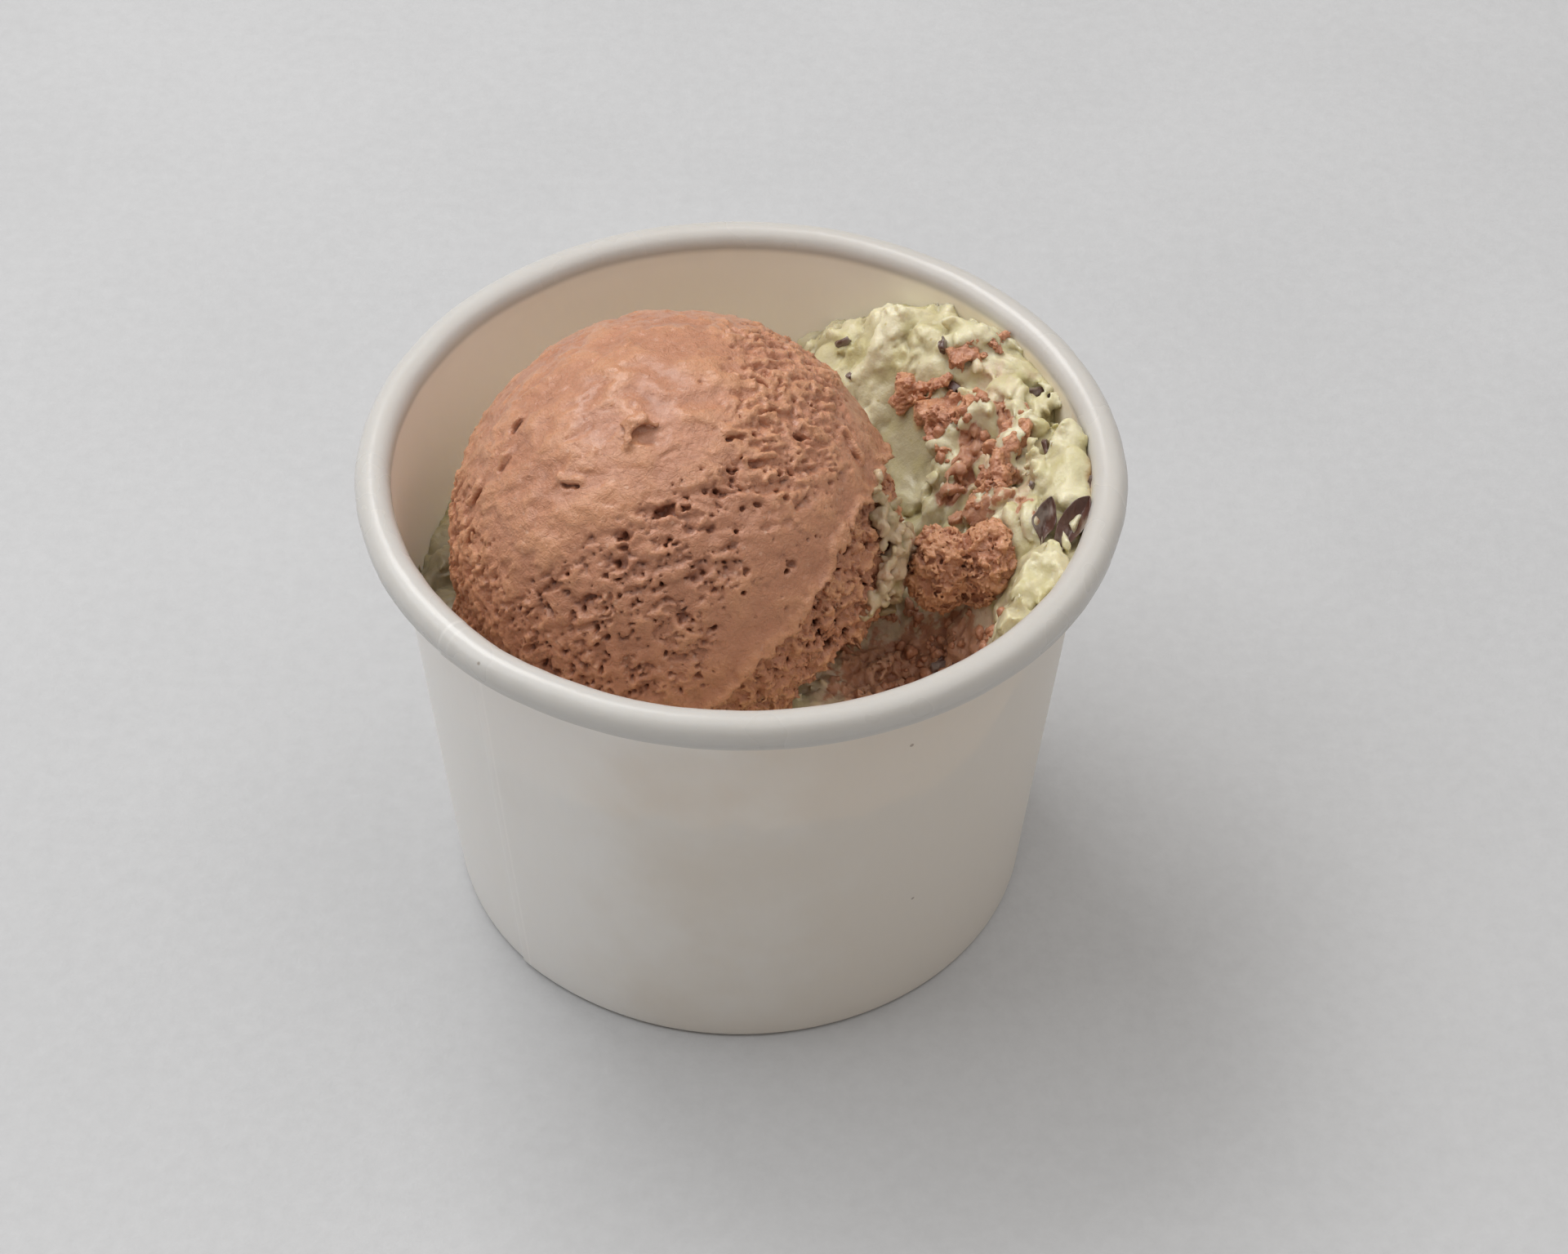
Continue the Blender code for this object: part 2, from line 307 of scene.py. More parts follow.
def grow_volume(name, shape, box, steps, unfold=None, skin_floor=None):
    """A mesh of where shape(sheet, place) is positive, worked out on a grid of points.

    The box's corners are in mm, as shape's places are.  unfold(sheet, place) says where a
    point of the grid lies on the piece, so that a thin flat grid can wrap round a form.  The
    grid's lower side, below skin_floor, is then left off.
    """
    deselect_all()
    bpy.ops.mesh.primitive_cube_add(size=MM)
    body = named_start(name)
    low, high = (Vector(corner) * MM for corner in box)
    tree = bpy.data.node_groups.new(name + "_form", 'GeometryNodeTree')
    tree.interface.new_socket("Geometry", in_out='OUTPUT', socket_type='NodeSocketGeometry')
    sheet = Sheet(tree)
    position = sheet.add('GeometryNodeInputPosition', {}, {})
    place = position * (1.0 / MM)
    if unfold:
        place = unfold(sheet, place)
    density = shape(sheet, place) * DENSITY_RISE + DENSITY_EDGE
    values = {'Density': density, 'Background': 0.0, 'Min': low, 'Max': high}
    values.update({f"Resolution {axis}": count for axis, count in zip("XYZ", steps)})
    volume = sheet.add('GeometryNodeVolumeCube', {}, values)
    mesh = sheet.add('GeometryNodeVolumeToMesh', {}, {'Volume': volume, 'Threshold': DENSITY_EDGE})
    if unfold:
        under = skin_floor * MM - position.parts()[2]
        values = {'Geometry': mesh, 'Selection': under.maths('GREATER_THAN', under, 0.0)}
        mesh = sheet.add('GeometryNodeDeleteGeometry', {'domain': 'FACE'}, values)
        mesh = sheet.add('GeometryNodeSetPosition', {}, {'Geometry': mesh, 'Position': place * MM})
    sheet.feed(tree.nodes.new('NodeGroupOutput').inputs[0], mesh)
    body.modifiers.new("form", 'NODES').node_group = tree
    apply_modifiers(body)
    body.data.materials.clear()
    return body


def store_marks(body, marks):
    """Stores numbers on the piece's points for its material: marks gives a formula for each name."""
    body.modifiers.new("marks", 'NODES').node_group = mark_tree(body.name, marks)
    apply_modifiers(body)


def finish_carving(body, seed, triangles, marks):
    """Keeps the one joined surface, thins it out and stores its marks on its points."""
    keep_one_island(body, Vector(seed) * MM)
    found = count_triangles(body.data)
    if found > triangles:
        body.modifiers.new("thin", 'DECIMATE').ratio = triangles / found
    apply_modifiers(body)
    store_marks(body, marks)
    bpy.ops.object.shade_smooth()


def close_rim(body, foot=None):
    """Closes an open lower rim, after drawing it down to a foot of (radius, height) if one is given."""
    bpy.ops.object.mode_set(mode='EDIT')
    bpy.ops.mesh.select_all(action='DESELECT')
    bpy.ops.mesh.select_non_manifold(extend=False, use_wire=False, use_multi_face=False,
                                     use_non_contiguous=False, use_verts=False)
    if foot:
        bpy.ops.mesh.extrude_region_move()
        bpy.ops.object.mode_set(mode='OBJECT')
        radius, height = foot
        for vertex in body.data.vertices:
            if vertex.select:
                reach = math.hypot(vertex.co.x, vertex.co.y)
                vertex.co = (vertex.co.x * radius / reach, vertex.co.y * radius / reach, height)
        bpy.ops.object.mode_set(mode='EDIT')
    bpy.ops.mesh.extrude_region_move()
    bpy.ops.mesh.merge(type='CENTER')
    bpy.ops.object.mode_set(mode='OBJECT')


def carve(name, shape, box, voxel, seed, triangles, marks):
    """A closed mesh of where shape(sheet, place) is positive inside the box."""
    steps = [int((b - a) / voxel) + 1 for a, b in zip(*box)]
    body = grow_volume(name, shape, box, steps)
    finish_carving(body, seed, triangles, marks)
    return body


def mark_tree(name, marks):
    """Geometry nodes that store a number on each point for the piece's material."""
    tree = bpy.data.node_groups.new(name + "_marks", 'GeometryNodeTree')
    tree.interface.new_socket("Geometry", in_out='INPUT', socket_type='NodeSocketGeometry')
    tree.interface.new_socket("Geometry", in_out='OUTPUT', socket_type='NodeSocketGeometry')
    sheet = Sheet(tree)
    geometry = Wire(sheet, tree.nodes.new('NodeGroupInput').outputs[0])
    place = sheet.add('GeometryNodeInputPosition', {}, {}) * (1.0 / MM)
    for attribute, formula in marks.items():
        values = {'Geometry': geometry, 'Name': attribute, 'Value': formula(sheet, place)}
        geometry = sheet.add('GeometryNodeStoreNamedAttribute', {'domain': 'POINT'}, values)
    sheet.feed(tree.nodes.new('NodeGroupOutput').inputs[0], geometry)
    return tree


def ellipsoid(place, centre, radii):
    """Depth below an ellipsoid's surface: exact along its axes and near enough elsewhere."""
    inner = (place - tuple(centre)) * tuple(1.0 / radius for radius in radii)
    return (1.0 - inner.length()) * min(radii)


def rod(place, start, end, radius):
    """Depth below a round-ended rod's surface."""
    start, end = Vector(start), Vector(end)
    run = end - start
    offset = place - tuple(start)
    share = (offset.dot(tuple(run)) * (1.0 / run.length_squared)).most(0.0).least(1.0)
    return radius - (offset - share * tuple(run)).length()


# ---------------------------------------------------------------- materials

def new_material(name, constants):
    """A Principled material; constants are the values that are the same all over."""
    material = bpy.data.materials.new(name)
    material.use_nodes = True
    shader = material.node_tree.nodes["Principled BSDF"]
    for socket, value in constants.items():
        shader.inputs[socket].default_value = value
    return material, Sheet(material.node_tree), shader


def object_place(sheet):
    """The point's place on the object in mm."""
    return sheet.add('ShaderNodeTexCoord', {}, {}, 'Object') * (1.0 / MM)


def point_mark(sheet, name):
    return sheet.add('ShaderNodeAttribute', {'attribute_name': name}, {}, 'Fac')


def relief(sheet, shader, height):
    """Fine bumps: height is in mm."""
    normal = sheet.add('ShaderNodeBump', {}, {'Strength': 1.0, 'Distance': MM, 'Height': height})
    sheet.feed(shader.inputs["Normal"], normal)


def hump(place, centre, radius):
    """1 at the centre, falling smoothly to 0 at the radius."""
    return ((place - tuple(centre)).length() / radius).rise(1.0, 0.0)


def paper_material(settings):
    """Coated white paper, with milky and brown smears on the inside by the pistachio side, and painted
    light: a paler, warmer inside, a paler, cooler left side and a darker rolled rim.

    The paper's "facing" mark is above 0 where it looks outwards and below 0 where it looks inwards.
    """
    constants = {
        "IOR": 1.5,
        "Subsurface Weight": 0.22,
        "Subsurface Radius": (1.0, 0.8, 0.6),
        "Subsurface Scale": 1.2 * MM,
    }
    material, sheet, shader = new_material("paper_white", constants)
    place = object_place(sheet)
    x, y, z = place.parts()
    radius = (x * x + y * y) ** 0.5
    cloudy = sheet.noise(place, 14.0, 3.0)
    fibre = sheet.noise(place * (1.0, 1.0, 0.35), 0.9, 3.0, 0.6)

    # Painted light: the paper turns paler and cooler towards the left, where the key light falls, mixed
    # with a random cloudy tone
    cool_and_lit = (x * -0.02 + 0.35 + cloudy * 0.5).rise(0.15, 0.85)
    tone = cool_and_lit.mix(settings.paper_colour, settings.paper_cool_lit)
    inside = point_mark(sheet, "facing").rise(0.15, -0.15) * z.rise(57.4, 56.4)
    # Painted shade: the rolled rim is toned darker to damp the strong light on its top
    rolled = z.rise(54.4, 56.2) * (1.0 - inside)
    tone = (rolled * 0.85).mix(tone, settings.paper_rim_shade)
    # Painted bounce light: the inside of the wall is paler and warmer than the outer paper
    tone = inside.mix(tone, settings.paper_inside_lit) * (1.0 + 0.012 * fibre)

    # The glued lap shows as two faint pale lines, and the wall has a few tiny specks
    across_seam = x * -math.sin(SEAM_ANGLE) + y * math.cos(SEAM_ANGLE)
    towards_seam = x * math.cos(SEAM_ANGLE) + y * math.sin(SEAM_ANGLE)
    near_side = towards_seam.rise(0.0, 10.0) * (1.0 - inside)
    for offset, share in ((0.0, 0.10), (1.3, 0.05)):
        line = (across_seam - offset).unary('ABSOLUTE').rise(0.28, 0.06) * near_side
        tone = tone * (1.0 + share * line)
    speck = sheet.cells(place, 9.0).rise(0.30, 0.18) * (1.0 - inside)
    tone = (speck * 0.6).mix(tone, settings.paper_speck)

    # Smears: inside the wall only, above and beside the pistachio
    ragged = sheet.noise(place, 5.0, 4.0, 0.6)
    streaks = sheet.noise(place * (1.0, 1.0, 0.25), 2.2, 3.0, 0.6)
    below_roll = inside * (radius - wall_radius(z)).rise(1.0, 0.3)
    milky = hump(place, (34.0, 20.0, 57.0), 27.0) * inside * (ragged + 0.9).rise(0.1, 1.1)
    tone = (milky * 0.75).mix(tone, settings.milky_smear)
    warm = hump(place, (38.5, 4.0, 55.5), 12.0) * below_roll * (streaks + 0.3).rise(0.0, 0.7)
    tone = (warm * 0.8).mix(tone, settings.warm_smear)
    line = hump(place * (1.0, 0.5, 0.8), (38.4, -0.6, 44.4), 4.0)
    brown = line * below_roll * (streaks * 0.6 + ragged * 0.6 + 0.35).rise(0.0, 0.4)
    tone = brown.mix(tone, settings.brown_smear)

    sheet.feed(shader.inputs["Base Color"], tone)
    rough = 0.38 + 0.05 * cloudy - 0.10 * rolled + 0.25 * (milky + warm) * inside
    sheet.feed(shader.inputs["Roughness"], rough)
    relief(sheet, shader, 0.012 * fibre + 0.02 * sheet.noise(place, 4.0, 2.0))
    return material


def chocolate_material(settings):
    """Chocolate gelato: pink-brown skin, orange-brown torn edges lighter on raised ridges as painted light,
    dark pores darkened with depth as painted shade, and pale flecks painted as glints.
    """
    constants = {
        "IOR": 1.45,
        "Coat Weight": 0.5,
        "Coat Roughness": 0.28,
        "Subsurface Weight": 0.12,
        "Subsurface Radius": (1.0, 0.45, 0.25),
        "Subsurface Scale": 1.2 * MM,
    }
    material, sheet, shader = new_material("gelato_chocolate", constants)
    place = object_place(sheet)
    hollow = point_mark(sheet, "hollow")
    torn = point_mark(sheet, "torn")
    broad = sheet.noise(place, 7.0, 2.0)
    mottle = sheet.noise(place, 1.6, 3.0, 0.6)
    grain = sheet.noise(place, 0.45, 3.0, 0.65, 0.6)

    tone = (broad * 0.35 + mottle * 0.5 + 0.5).mix(settings.chocolate_dark, settings.chocolate)
    # Raised ridges and torn edges turn lighter orange-brown: partly the torn edges' own colour, partly
    # painted light on the ridges
    raised_lit = (hollow + 0.10 * mottle).rise(0.10, -0.30)
    tone = (raised_lit * (0.35 + 0.20 * torn)).mix(tone, settings.chocolate_edge_lit)
    # Painted shade: the pores darken with their depth
    sunk_shade = (hollow + 0.1 * grain - 0.3 * torn).rise(0.15, 0.75)
    tone = sunk_shade.mix(tone, settings.chocolate_pore_shade)
    tone = tone * (1.0 + 0.07 * grain)

    # Pale flecks of ice in the skin, painted pale as glints of light
    ice_glint = sheet.cells(place, 1.1)
    chance = sheet.noise(place, 4.0, 1.0)
    glint_fleck = (ice_glint + 0.08 * grain).rise(0.28, 0.14) * chance.rise(0.0, 0.3) * (1.0 - torn)
    tone = (glint_fleck * 0.35).mix(tone, settings.ice_glint)

    sheet.feed(shader.inputs["Base Color"], tone)
    rough = 0.36 + 0.12 * mottle + 0.2 * torn + 0.2 * sunk_shade - 0.06 * glint_fleck
    sheet.feed(shader.inputs["Roughness"], rough)
    wrinkles = sheet.noise(place, 0.75, 4.0, 0.68, 0.5)
    worms = sheet.noise(place, 1.5, 2.0, 0.5, 0.7).unary('ABSOLUTE').least(0.14)
    height = 0.14 * wrinkles + 0.22 * worms * (1.0 - torn) + 0.05 * grain
    height = height + torn * 0.10 * sheet.noise(place, 0.35, 2.0, 0.6)
    relief(sheet, shader, height)
    return material


def pistachio_material(settings):
    """Pistachio gelato: pale green-yellow cream with chocolate smears, painted highlights on raised curls,
    painted olive shade in creases and painted grey shade.
    """
    constants = {
        "IOR": 1.42,
        "Coat Weight": 0.25,
        "Coat Roughness": 0.3,
        "Subsurface Weight": 0.35,
        "Subsurface Radius": (1.0, 0.8, 0.35),
        "Subsurface Scale": 1.6 * MM,
    }
    material, sheet, shader = new_material("gelato_pistachio", constants)
    place = object_place(sheet)
    hollow = point_mark(sheet, "hollow")
    smear = point_mark(sheet, "smear")
    stain = point_mark(sheet, "stain")
    grey = point_mark(sheet, "grey")
    broad = sheet.noise(place, 5.0, 2.0)
    mottle = sheet.noise(place, 1.4, 3.0, 0.6)
    grain = sheet.noise(place, 0.4, 3.0, 0.6, 0.6)

    pale = (broad * 0.6 + mottle * 0.45 + 0.55).rise(0.2, 0.8)
    tone = pale.mix(settings.pistachio_green, settings.pistachio)
    # Painted highlight: raised curls turn paler
    raised_lit = (hollow + 0.25 * mottle).rise(-0.1, -0.9)
    tone = (raised_lit * 0.55).mix(tone, settings.pistachio_highlight)
    # Painted shade: creases and hollows turn olive
    crease = (hollow + 0.35 * mottle).rise(-0.15, 0.8)
    tone = (crease * 0.85).mix(tone, settings.pistachio_crease_shade)
    specks = sheet.cells(place, 1.6).rise(0.28, 0.12) * broad.rise(-0.1, 0.2)
    tone = (specks * 0.6).mix(tone, settings.pistachio_speck)
    # Painted grey shade where the cream lies in shade
    tone = (grey * 0.7).mix(tone, settings.pistachio_shade_grey)
    # Painted shade: the chocolate smear darkens in deep creases
    deep_shade = (hollow * 0.7 + 0.5 * mottle).rise(-0.35, 0.75)
    cocoa = deep_shade.mix(settings.smear, settings.chocolate_dark)
    tinted = (smear + 0.25 * mottle).rise(0.05, 0.45) * 0.85
    tone = tinted.mix(tone, settings.smear_tint)
    tone = (smear + 0.3 * mottle).rise(0.45, 0.62).mix(tone, cocoa)
    tone = (stain * (0.75 + 0.4 * mottle)).mix(tone, settings.stain)
    tone = tone * (1.0 + 0.04 * grain)

    sheet.feed(shader.inputs["Base Color"], tone)
    sheet.feed(shader.inputs["Roughness"], 0.36 + 0.08 * mottle + 0.2 * smear)
    relief(sheet, shader, 0.06 * mottle + 0.035 * grain * (1.0 + smear))
    return material


def skin_material(settings):
    """Dry nut skin: dark brown, veined, with a grey sheen painted into its colour."""
    constants = {"IOR": 1.5, "Coat Roughness": 0.25}
    material, sheet, shader = new_material("nut_skin", constants)
    place = object_place(sheet)
    veins = sheet.noise(place * (1.0, 0.4, 0.6), 0.7, 3.0, 0.6, 0.8)
    sheen_patches = sheet.noise(place, 2.6, 2.0)
    tone = (veins * 0.5 + 0.5).mix(settings.skin_dark, settings.skin)
    # Painted sheen: grey patches laid into the dark skin
    tone = ((sheen_patches + 0.25 * veins).rise(-0.12, 0.3) * 0.55).mix(tone, settings.skin_sheen)
    sheet.feed(shader.inputs["Base Color"], tone)
    sheet.feed(shader.inputs["Roughness"], 0.32 + 0.1 * veins)
    sheet.feed(shader.inputs["Coat Weight"], 0.35 + 0.2 * sheen_patches)
    relief(sheet, shader, 0.05 * veins)
    return material


def floor_material(settings):
    """A dull pale surface, faintly clouded and speckled, with painted light that makes it paler in front of
    the cup.
    """
    material, sheet, shader = new_material("floor", {"Specular IOR Level": 0.3})
    place = object_place(sheet)
    cloud = sheet.noise(place, 60.0, 3.0, 0.55)
    speckle = sheet.noise(place, 2.2, 3.0, 0.7)
    pale = (0.5 + 0.5 * cloud + 0.5 * speckle).rise(0.0, 1.0)
    dull = tuple(0.90 * part for part in settings.floor_colour)
    # Painted light: the floor turns paler in front of the cup, where the cup's soft shadow and the lights'
    # falloff darken it
    front = 1.0 + 0.22 * place.parts()[1].rise(-50.0, -130.0)
    sheet.feed(shader.inputs["Base Color"], pale.mix(dull, tuple(settings.floor_colour)) * front)
    sheet.feed(shader.inputs["Roughness"], 0.6 + 0.1 * cloud)
    relief(sheet, shader, 0.06 * speckle)
    return material


# ---------------------------------------------------------------- settings

def length_setting(name, description, default):
    return FloatProperty(name=name, description=description, default=default,
                         subtype='DISTANCE', unit='LENGTH')


def number_setting(name, description, default):
    return FloatProperty(name=name, description=description, default=default)


def colour_setting(name, description, default):
    return FloatVectorProperty(name=name, description=description, default=default,
                               subtype='COLOR', size=3, min=0.0, max=1.0)


class GelatoCupSettings(bpy.types.PropertyGroup):
    """Sizes and colours of the paper cup."""

    paper: length_setting("Paper", "Thickness of the paper", PAPER * MM)
    roll: length_setting("Roll", "Outer radius of the rolled rim", 0.5 * ROLL_WIDTH * MM)
    wobble: length_setting("Rim wobble", "How far the rolled rim is out of round", 0.16 * MM)
    dents: length_setting("Wall dents", "Depth of the soft dents in the wall", 0.12 * MM)
    lap: length_setting("Lap step", "Height of the step at the wall's glued lap", 0.22 * MM)
    paper_colour: colour_setting("Paper", "Colour of the paper", (0.73, 0.665, 0.59))
    # Painted light: paler and cooler, for the left side where the key light falls
    paper_cool_lit: colour_setting("Paper, cool", "Cooler tone of the paper", (0.84, 0.81, 0.77))
    # Painted bounce light: paler and warmer than the outer paper
    paper_inside_lit: colour_setting("Paper, inside", "Coated inside of the paper", (0.94, 0.885, 0.80))
    # Painted shade: darker, for the rolled rim's strongly lit top
    paper_rim_shade: colour_setting("Paper, rim", "Paper of the rolled rim", (0.53, 0.515, 0.49))
    paper_speck: colour_setting("Paper speck", "Tiny specks in the paper", (0.20, 0.14, 0.10))
    milky_smear: colour_setting("Milky smear", "Dried cream inside the wall", (0.74, 0.63, 0.44))
    warm_smear: colour_setting("Warm smear", "Yellow smear by the right rim", (0.62, 0.44, 0.20))
    brown_smear: colour_setting("Brown smear", "Orange-brown line by the right rim", (0.33, 0.13, 0.02))


class GelatoFillingSettings(bpy.types.PropertyGroup):
    """Fineness, pores and colours of the gelato."""

    voxel: number_setting("Fineness", "Size of the carving grid in mm", 0.25)
    pore: number_setting("Pore size", "Factor on the size of the scoop's pores", 1.0)
    crumb: number_setting("Crumb", "Factor on the height of torn crumb", 1.0)
    chocolate: colour_setting("Chocolate", "Skin of the chocolate gelato", (0.59, 0.275, 0.158))
    chocolate_dark: colour_setting("Chocolate, dark", "Darker tone of the skin", (0.44, 0.190, 0.105))
    # Partly painted light: the torn edges' orange-brown, also laid on raised ridges
    chocolate_edge_lit: colour_setting("Chocolate edge", "Thin torn edges", (0.73, 0.375, 0.19))
    # Painted glints, as pale flecks of ice
    ice_glint: colour_setting("Ice", "Pale flecks of ice in the chocolate skin", (0.72, 0.48, 0.36))
    # Painted shade deep in the pores
    chocolate_pore_shade: colour_setting("Chocolate pore", "Deep in the pores", (0.25, 0.090, 0.048))
    pistachio: colour_setting("Pistachio", "Pale tone of the pistachio gelato", (0.66, 0.60, 0.40))
    pistachio_green: colour_setting("Pistachio, green", "Greener tone", (0.56, 0.505, 0.26))
    # Painted highlight on raised curls
    pistachio_highlight: colour_setting("Pistachio, light", "Raised curls", (0.80, 0.745, 0.54))
    # Painted olive shade in creases and hollows
    pistachio_crease_shade: colour_setting("Pistachio crease", "Creases and hollows", (0.27, 0.205, 0.07))
    pistachio_speck: colour_setting("Pistachio speck", "Small yellow specks", (0.46, 0.36, 0.10))
    # Painted grey shade where the cream lies in shade
    pistachio_shade_grey: colour_setting("Pistachio, grey", "Where chocolate has tinted it", (0.34, 0.295, 0.185))
    smear: colour_setting("Smear", "Chocolate worked into the pistachio", (0.52, 0.275, 0.17))
    smear_tint: colour_setting("Smear tint", "Pistachio tinted by chocolate", (0.63, 0.47, 0.33))
    stain: colour_setting("Stain", "Dried orange-brown stain", (0.36, 0.16, 0.03))
    skin: colour_setting("Nut skin", "Nut skin", (0.15, 0.068, 0.048))
    skin_dark: colour_setting("Nut skin, dark", "Dark tone of the nut skin", (0.055, 0.022, 0.017))
    # Painted sheen on the nut skin
    skin_sheen: colour_setting("Nut skin bloom", "Waxy bloom", (0.36, 0.31, 0.27))


class GelatoStageSettings(bpy.types.PropertyGroup):
    """Floor, light and lens."""

    floor_colour: colour_setting("Floor", "Colour of the floor", (0.535, 0.54, 0.55))
    key_power: number_setting("Key light", "Power of the key light in watts", 5.2)
    key_size: length_setting("Key size", "Width of the key light", 0.9)
    top_power: number_setting("Top light", "Power of the overhead light in watts", 8.5)
    top_size: length_setting("Top size", "Width of the overhead light", 1.6)
    sheen_power: number_setting("Sheen light", "Power of the light from behind in watts", 4.6)
    sheen_size: length_setting("Sheen size", "Width of the light from behind", 0.5)
    fill: number_setting("Fill light", "Strength of the light from all round", 0.31)


# ---------------------------------------------------------------- the paper cup

SEAM_ANGLE = math.radians(-138.0)
SEAM_WIDTH = math.radians(0.25)
LAP_FADE = math.radians(26.0)
COLUMNS = 288
ROLL_END = math.radians(-125.0)
# A slight bead along the roll's lower lip
BEAD_ANGLE = math.radians(-36.0)
BEAD_WIDTH = math.radians(5.5)
BEAD_HEIGHT = 0.22 * MM
FOLD_HEIGHT = 5.2 * MM
FOLD_RADIUS = 0.7 * MM
# Steps of the outline along the roll, the wall, the bend at the foot and the fold
ROLL_STEPS = 40
WALL_STEPS = 29
BEND_STEPS = 8
FOLD_STEPS = 4
# Heights over which the wall's dents fade out below the roll and above the foot
ROLL_FADE = 3.0 * MM
FOOT_FADE = 8.0 * MM


def cup_profile(settings):
    """(r, z) points along the middle of the paper, from the roll's tip to the fold's edge."""
    half = 0.5 * settings.paper
    roll_z = CUP_HEIGHT - settings.roll
    roll_r = RIM_RADIUS - settings.roll
    foot_r = FOOT_RADIUS - half
    slope = (roll_r - settings.roll + half - foot_r) / roll_z

    points = []
    for step in range(ROLL_STEPS + 1):
        angle = ROLL_END + (math.pi - ROLL_END) * step / ROLL_STEPS
        bead = BEAD_HEIGHT * math.exp(-((angle - BEAD_ANGLE) / BEAD_WIDTH) ** 2)
        reach = settings.roll - half + bead
        points.append((roll_r + reach * math.cos(angle), roll_z + reach * math.sin(angle)))
    for step in range(1, WALL_STEPS + 1):
        z = roll_z + (FOLD_RADIUS + half - roll_z) * step / WALL_STEPS
        points.append((foot_r + slope * z, z))
    bend_r = points[-1][0] - FOLD_RADIUS
    bend_z = points[-1][1]
    for step in range(1, BEND_STEPS + 1):
        angle = -math.pi * step / BEND_STEPS
        points.append((bend_r + FOLD_RADIUS * math.cos(angle), bend_z + FOLD_RADIUS * math.sin(angle)))
    for step in range(1, FOLD_STEPS + 1):
        z = bend_z + (FOLD_HEIGHT - bend_z) * step / FOLD_STEPS
        points.append((bend_r - FOLD_RADIUS + slope * (z - bend_z), z))
    return points


def extrude_wire(name, points):
    """A wire through (r, z) points, drawn by extruding a single point."""
    deselect_all()
    bpy.ops.mesh.primitive_plane_add(size=MM)
    body = named_start(name)
    bpy.ops.object.mode_set(mode='EDIT')
    bpy.ops.mesh.select_all(action='SELECT')
    bpy.ops.mesh.merge(type='CENTER')
    bpy.ops.transform.translate(value=(points[0][0], 0.0, points[0][1]))
    for (r0, z0), (r1, z1) in zip(points, points[1:]):
        move = {"value": (r1 - r0, 0.0, z1 - z0)}
        bpy.ops.mesh.extrude_region_move(TRANSFORM_OT_translate=move)
    return body


def close_columns(angle, seam_columns):
    """Brings the two columns on either side of the seam close together."""
    step = math.tau / COLUMNS
    before, after = seam_columns
    if abs(angle - before) < 0.25 * step:
        return SEAM_ANGLE - SEAM_WIDTH
    if abs(angle - after) < 0.25 * step:
        return SEAM_ANGLE + SEAM_WIDTH
    return angle


def warp_cup(body, settings):
    """Gives the turned sheet its lap, soft dents and uneven roll by moving its points."""
    step = math.tau / COLUMNS
    before = math.floor(SEAM_ANGLE / step) * step
    roll_z = CUP_HEIGHT - settings.roll
    for vertex in body.data.vertices:
        x, y, z = vertex.co
        radius = math.hypot(x, y)
        angle = close_columns(math.atan2(y, x), (before, before + step))
        around = Vector((math.cos(angle), math.sin(angle), 0.0))
        past_seam = (angle - SEAM_ANGLE) % math.tau
        in_lap = max(1.0 - past_seam / LAP_FADE, 0.0)
        on_wall = min(max((roll_z - z) / ROLL_FADE, 0.0), 1.0)
        radius += settings.lap * in_lap ** 2 * (0.3 + 0.7 * on_wall)
        dent = noise.noise(around * 1.6 + Vector((0.0, 0.0, z * 22.0)))
        radius += settings.dents * dent * on_wall * min(z / FOOT_FADE, 1.0)
        on_roll = 1.0 - on_wall
        long_wave = noise.noise(around * 3.5)
        short_wave = noise.noise(around * 11.0 + Vector((0.0, 0.0, z * 260.0)))
        ripple = noise.noise(around * 26.0 + Vector((0.0, 3.0, z * 420.0)))
        radius += settings.wobble * on_roll * (long_wave + 0.45 * short_wave + 0.22 * ripple)
        top = min(max((z - roll_z) / settings.roll, 0.0), 1.0)
        z += settings.wobble * top * (0.6 * noise.noise(around * 5.0 + Vector((7.0, 0.0, 0.0))) - 0.3)
        vertex.co = (radius * around.x, radius * around.y, z)


def paper_facing(sheet, place):
    """Above 0 where the paper looks away from the cup's axis and below 0 where it looks at it."""
    outwards = (place * (1.0, 1.0, 0.0)).unit()
    return sheet.add('GeometryNodeInputNormal', {}, {}).dot(outwards)


class GELATO_OT_cup_wall(bpy.types.Operator):
    """Build the paper wall with its rolled rim, glued lap and foot fold"""

    bl_idname = "gelato.cup_wall"
    bl_label = "Cup Wall"

    def execute(self, context):
        settings = context.scene.gelato_cup
        body = extrude_wire("paper_wall", cup_profile(settings))
        bpy.ops.mesh.select_all(action='SELECT')
        bpy.ops.mesh.spin(steps=COLUMNS, angle=math.tau, center=(0.0, 0.0, 0.0), axis=(0.0, 0.0, 1.0))
        bpy.ops.mesh.select_all(action='SELECT')
        bpy.ops.mesh.remove_doubles(threshold=0.01 * MM)
        bpy.ops.mesh.normals_make_consistent(inside=False)
        bpy.ops.object.mode_set(mode='OBJECT')
        warp_cup(body, settings)
        wall = body.modifiers.new("paper", 'SOLIDIFY')
        wall.thickness = settings.paper
        wall.offset = 0.0
        wall.use_quality_normals = True
        apply_modifiers(body)
        store_marks(body, {"facing": paper_facing})
        bpy.ops.object.shade_smooth_by_angle(angle=math.radians(50.0))
        body.data.materials.append(shared_material("paper_white"))
        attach(body, "root")
        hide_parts("cup_wall")
        return {'FINISHED'}


class GELATO_OT_cup_base(bpy.types.Operator):
    """Give the cup's turned-down base disc its paper finish"""

    bl_idname = "gelato.cup_base"
    bl_label = "Cup Base"

    def execute(self, context):
        mesh = frame["nodes"]["cup_base"].data
        mesh.materials.clear()
        mesh.materials.append(shared_material("paper_white"))
        return {'FINISHED'}


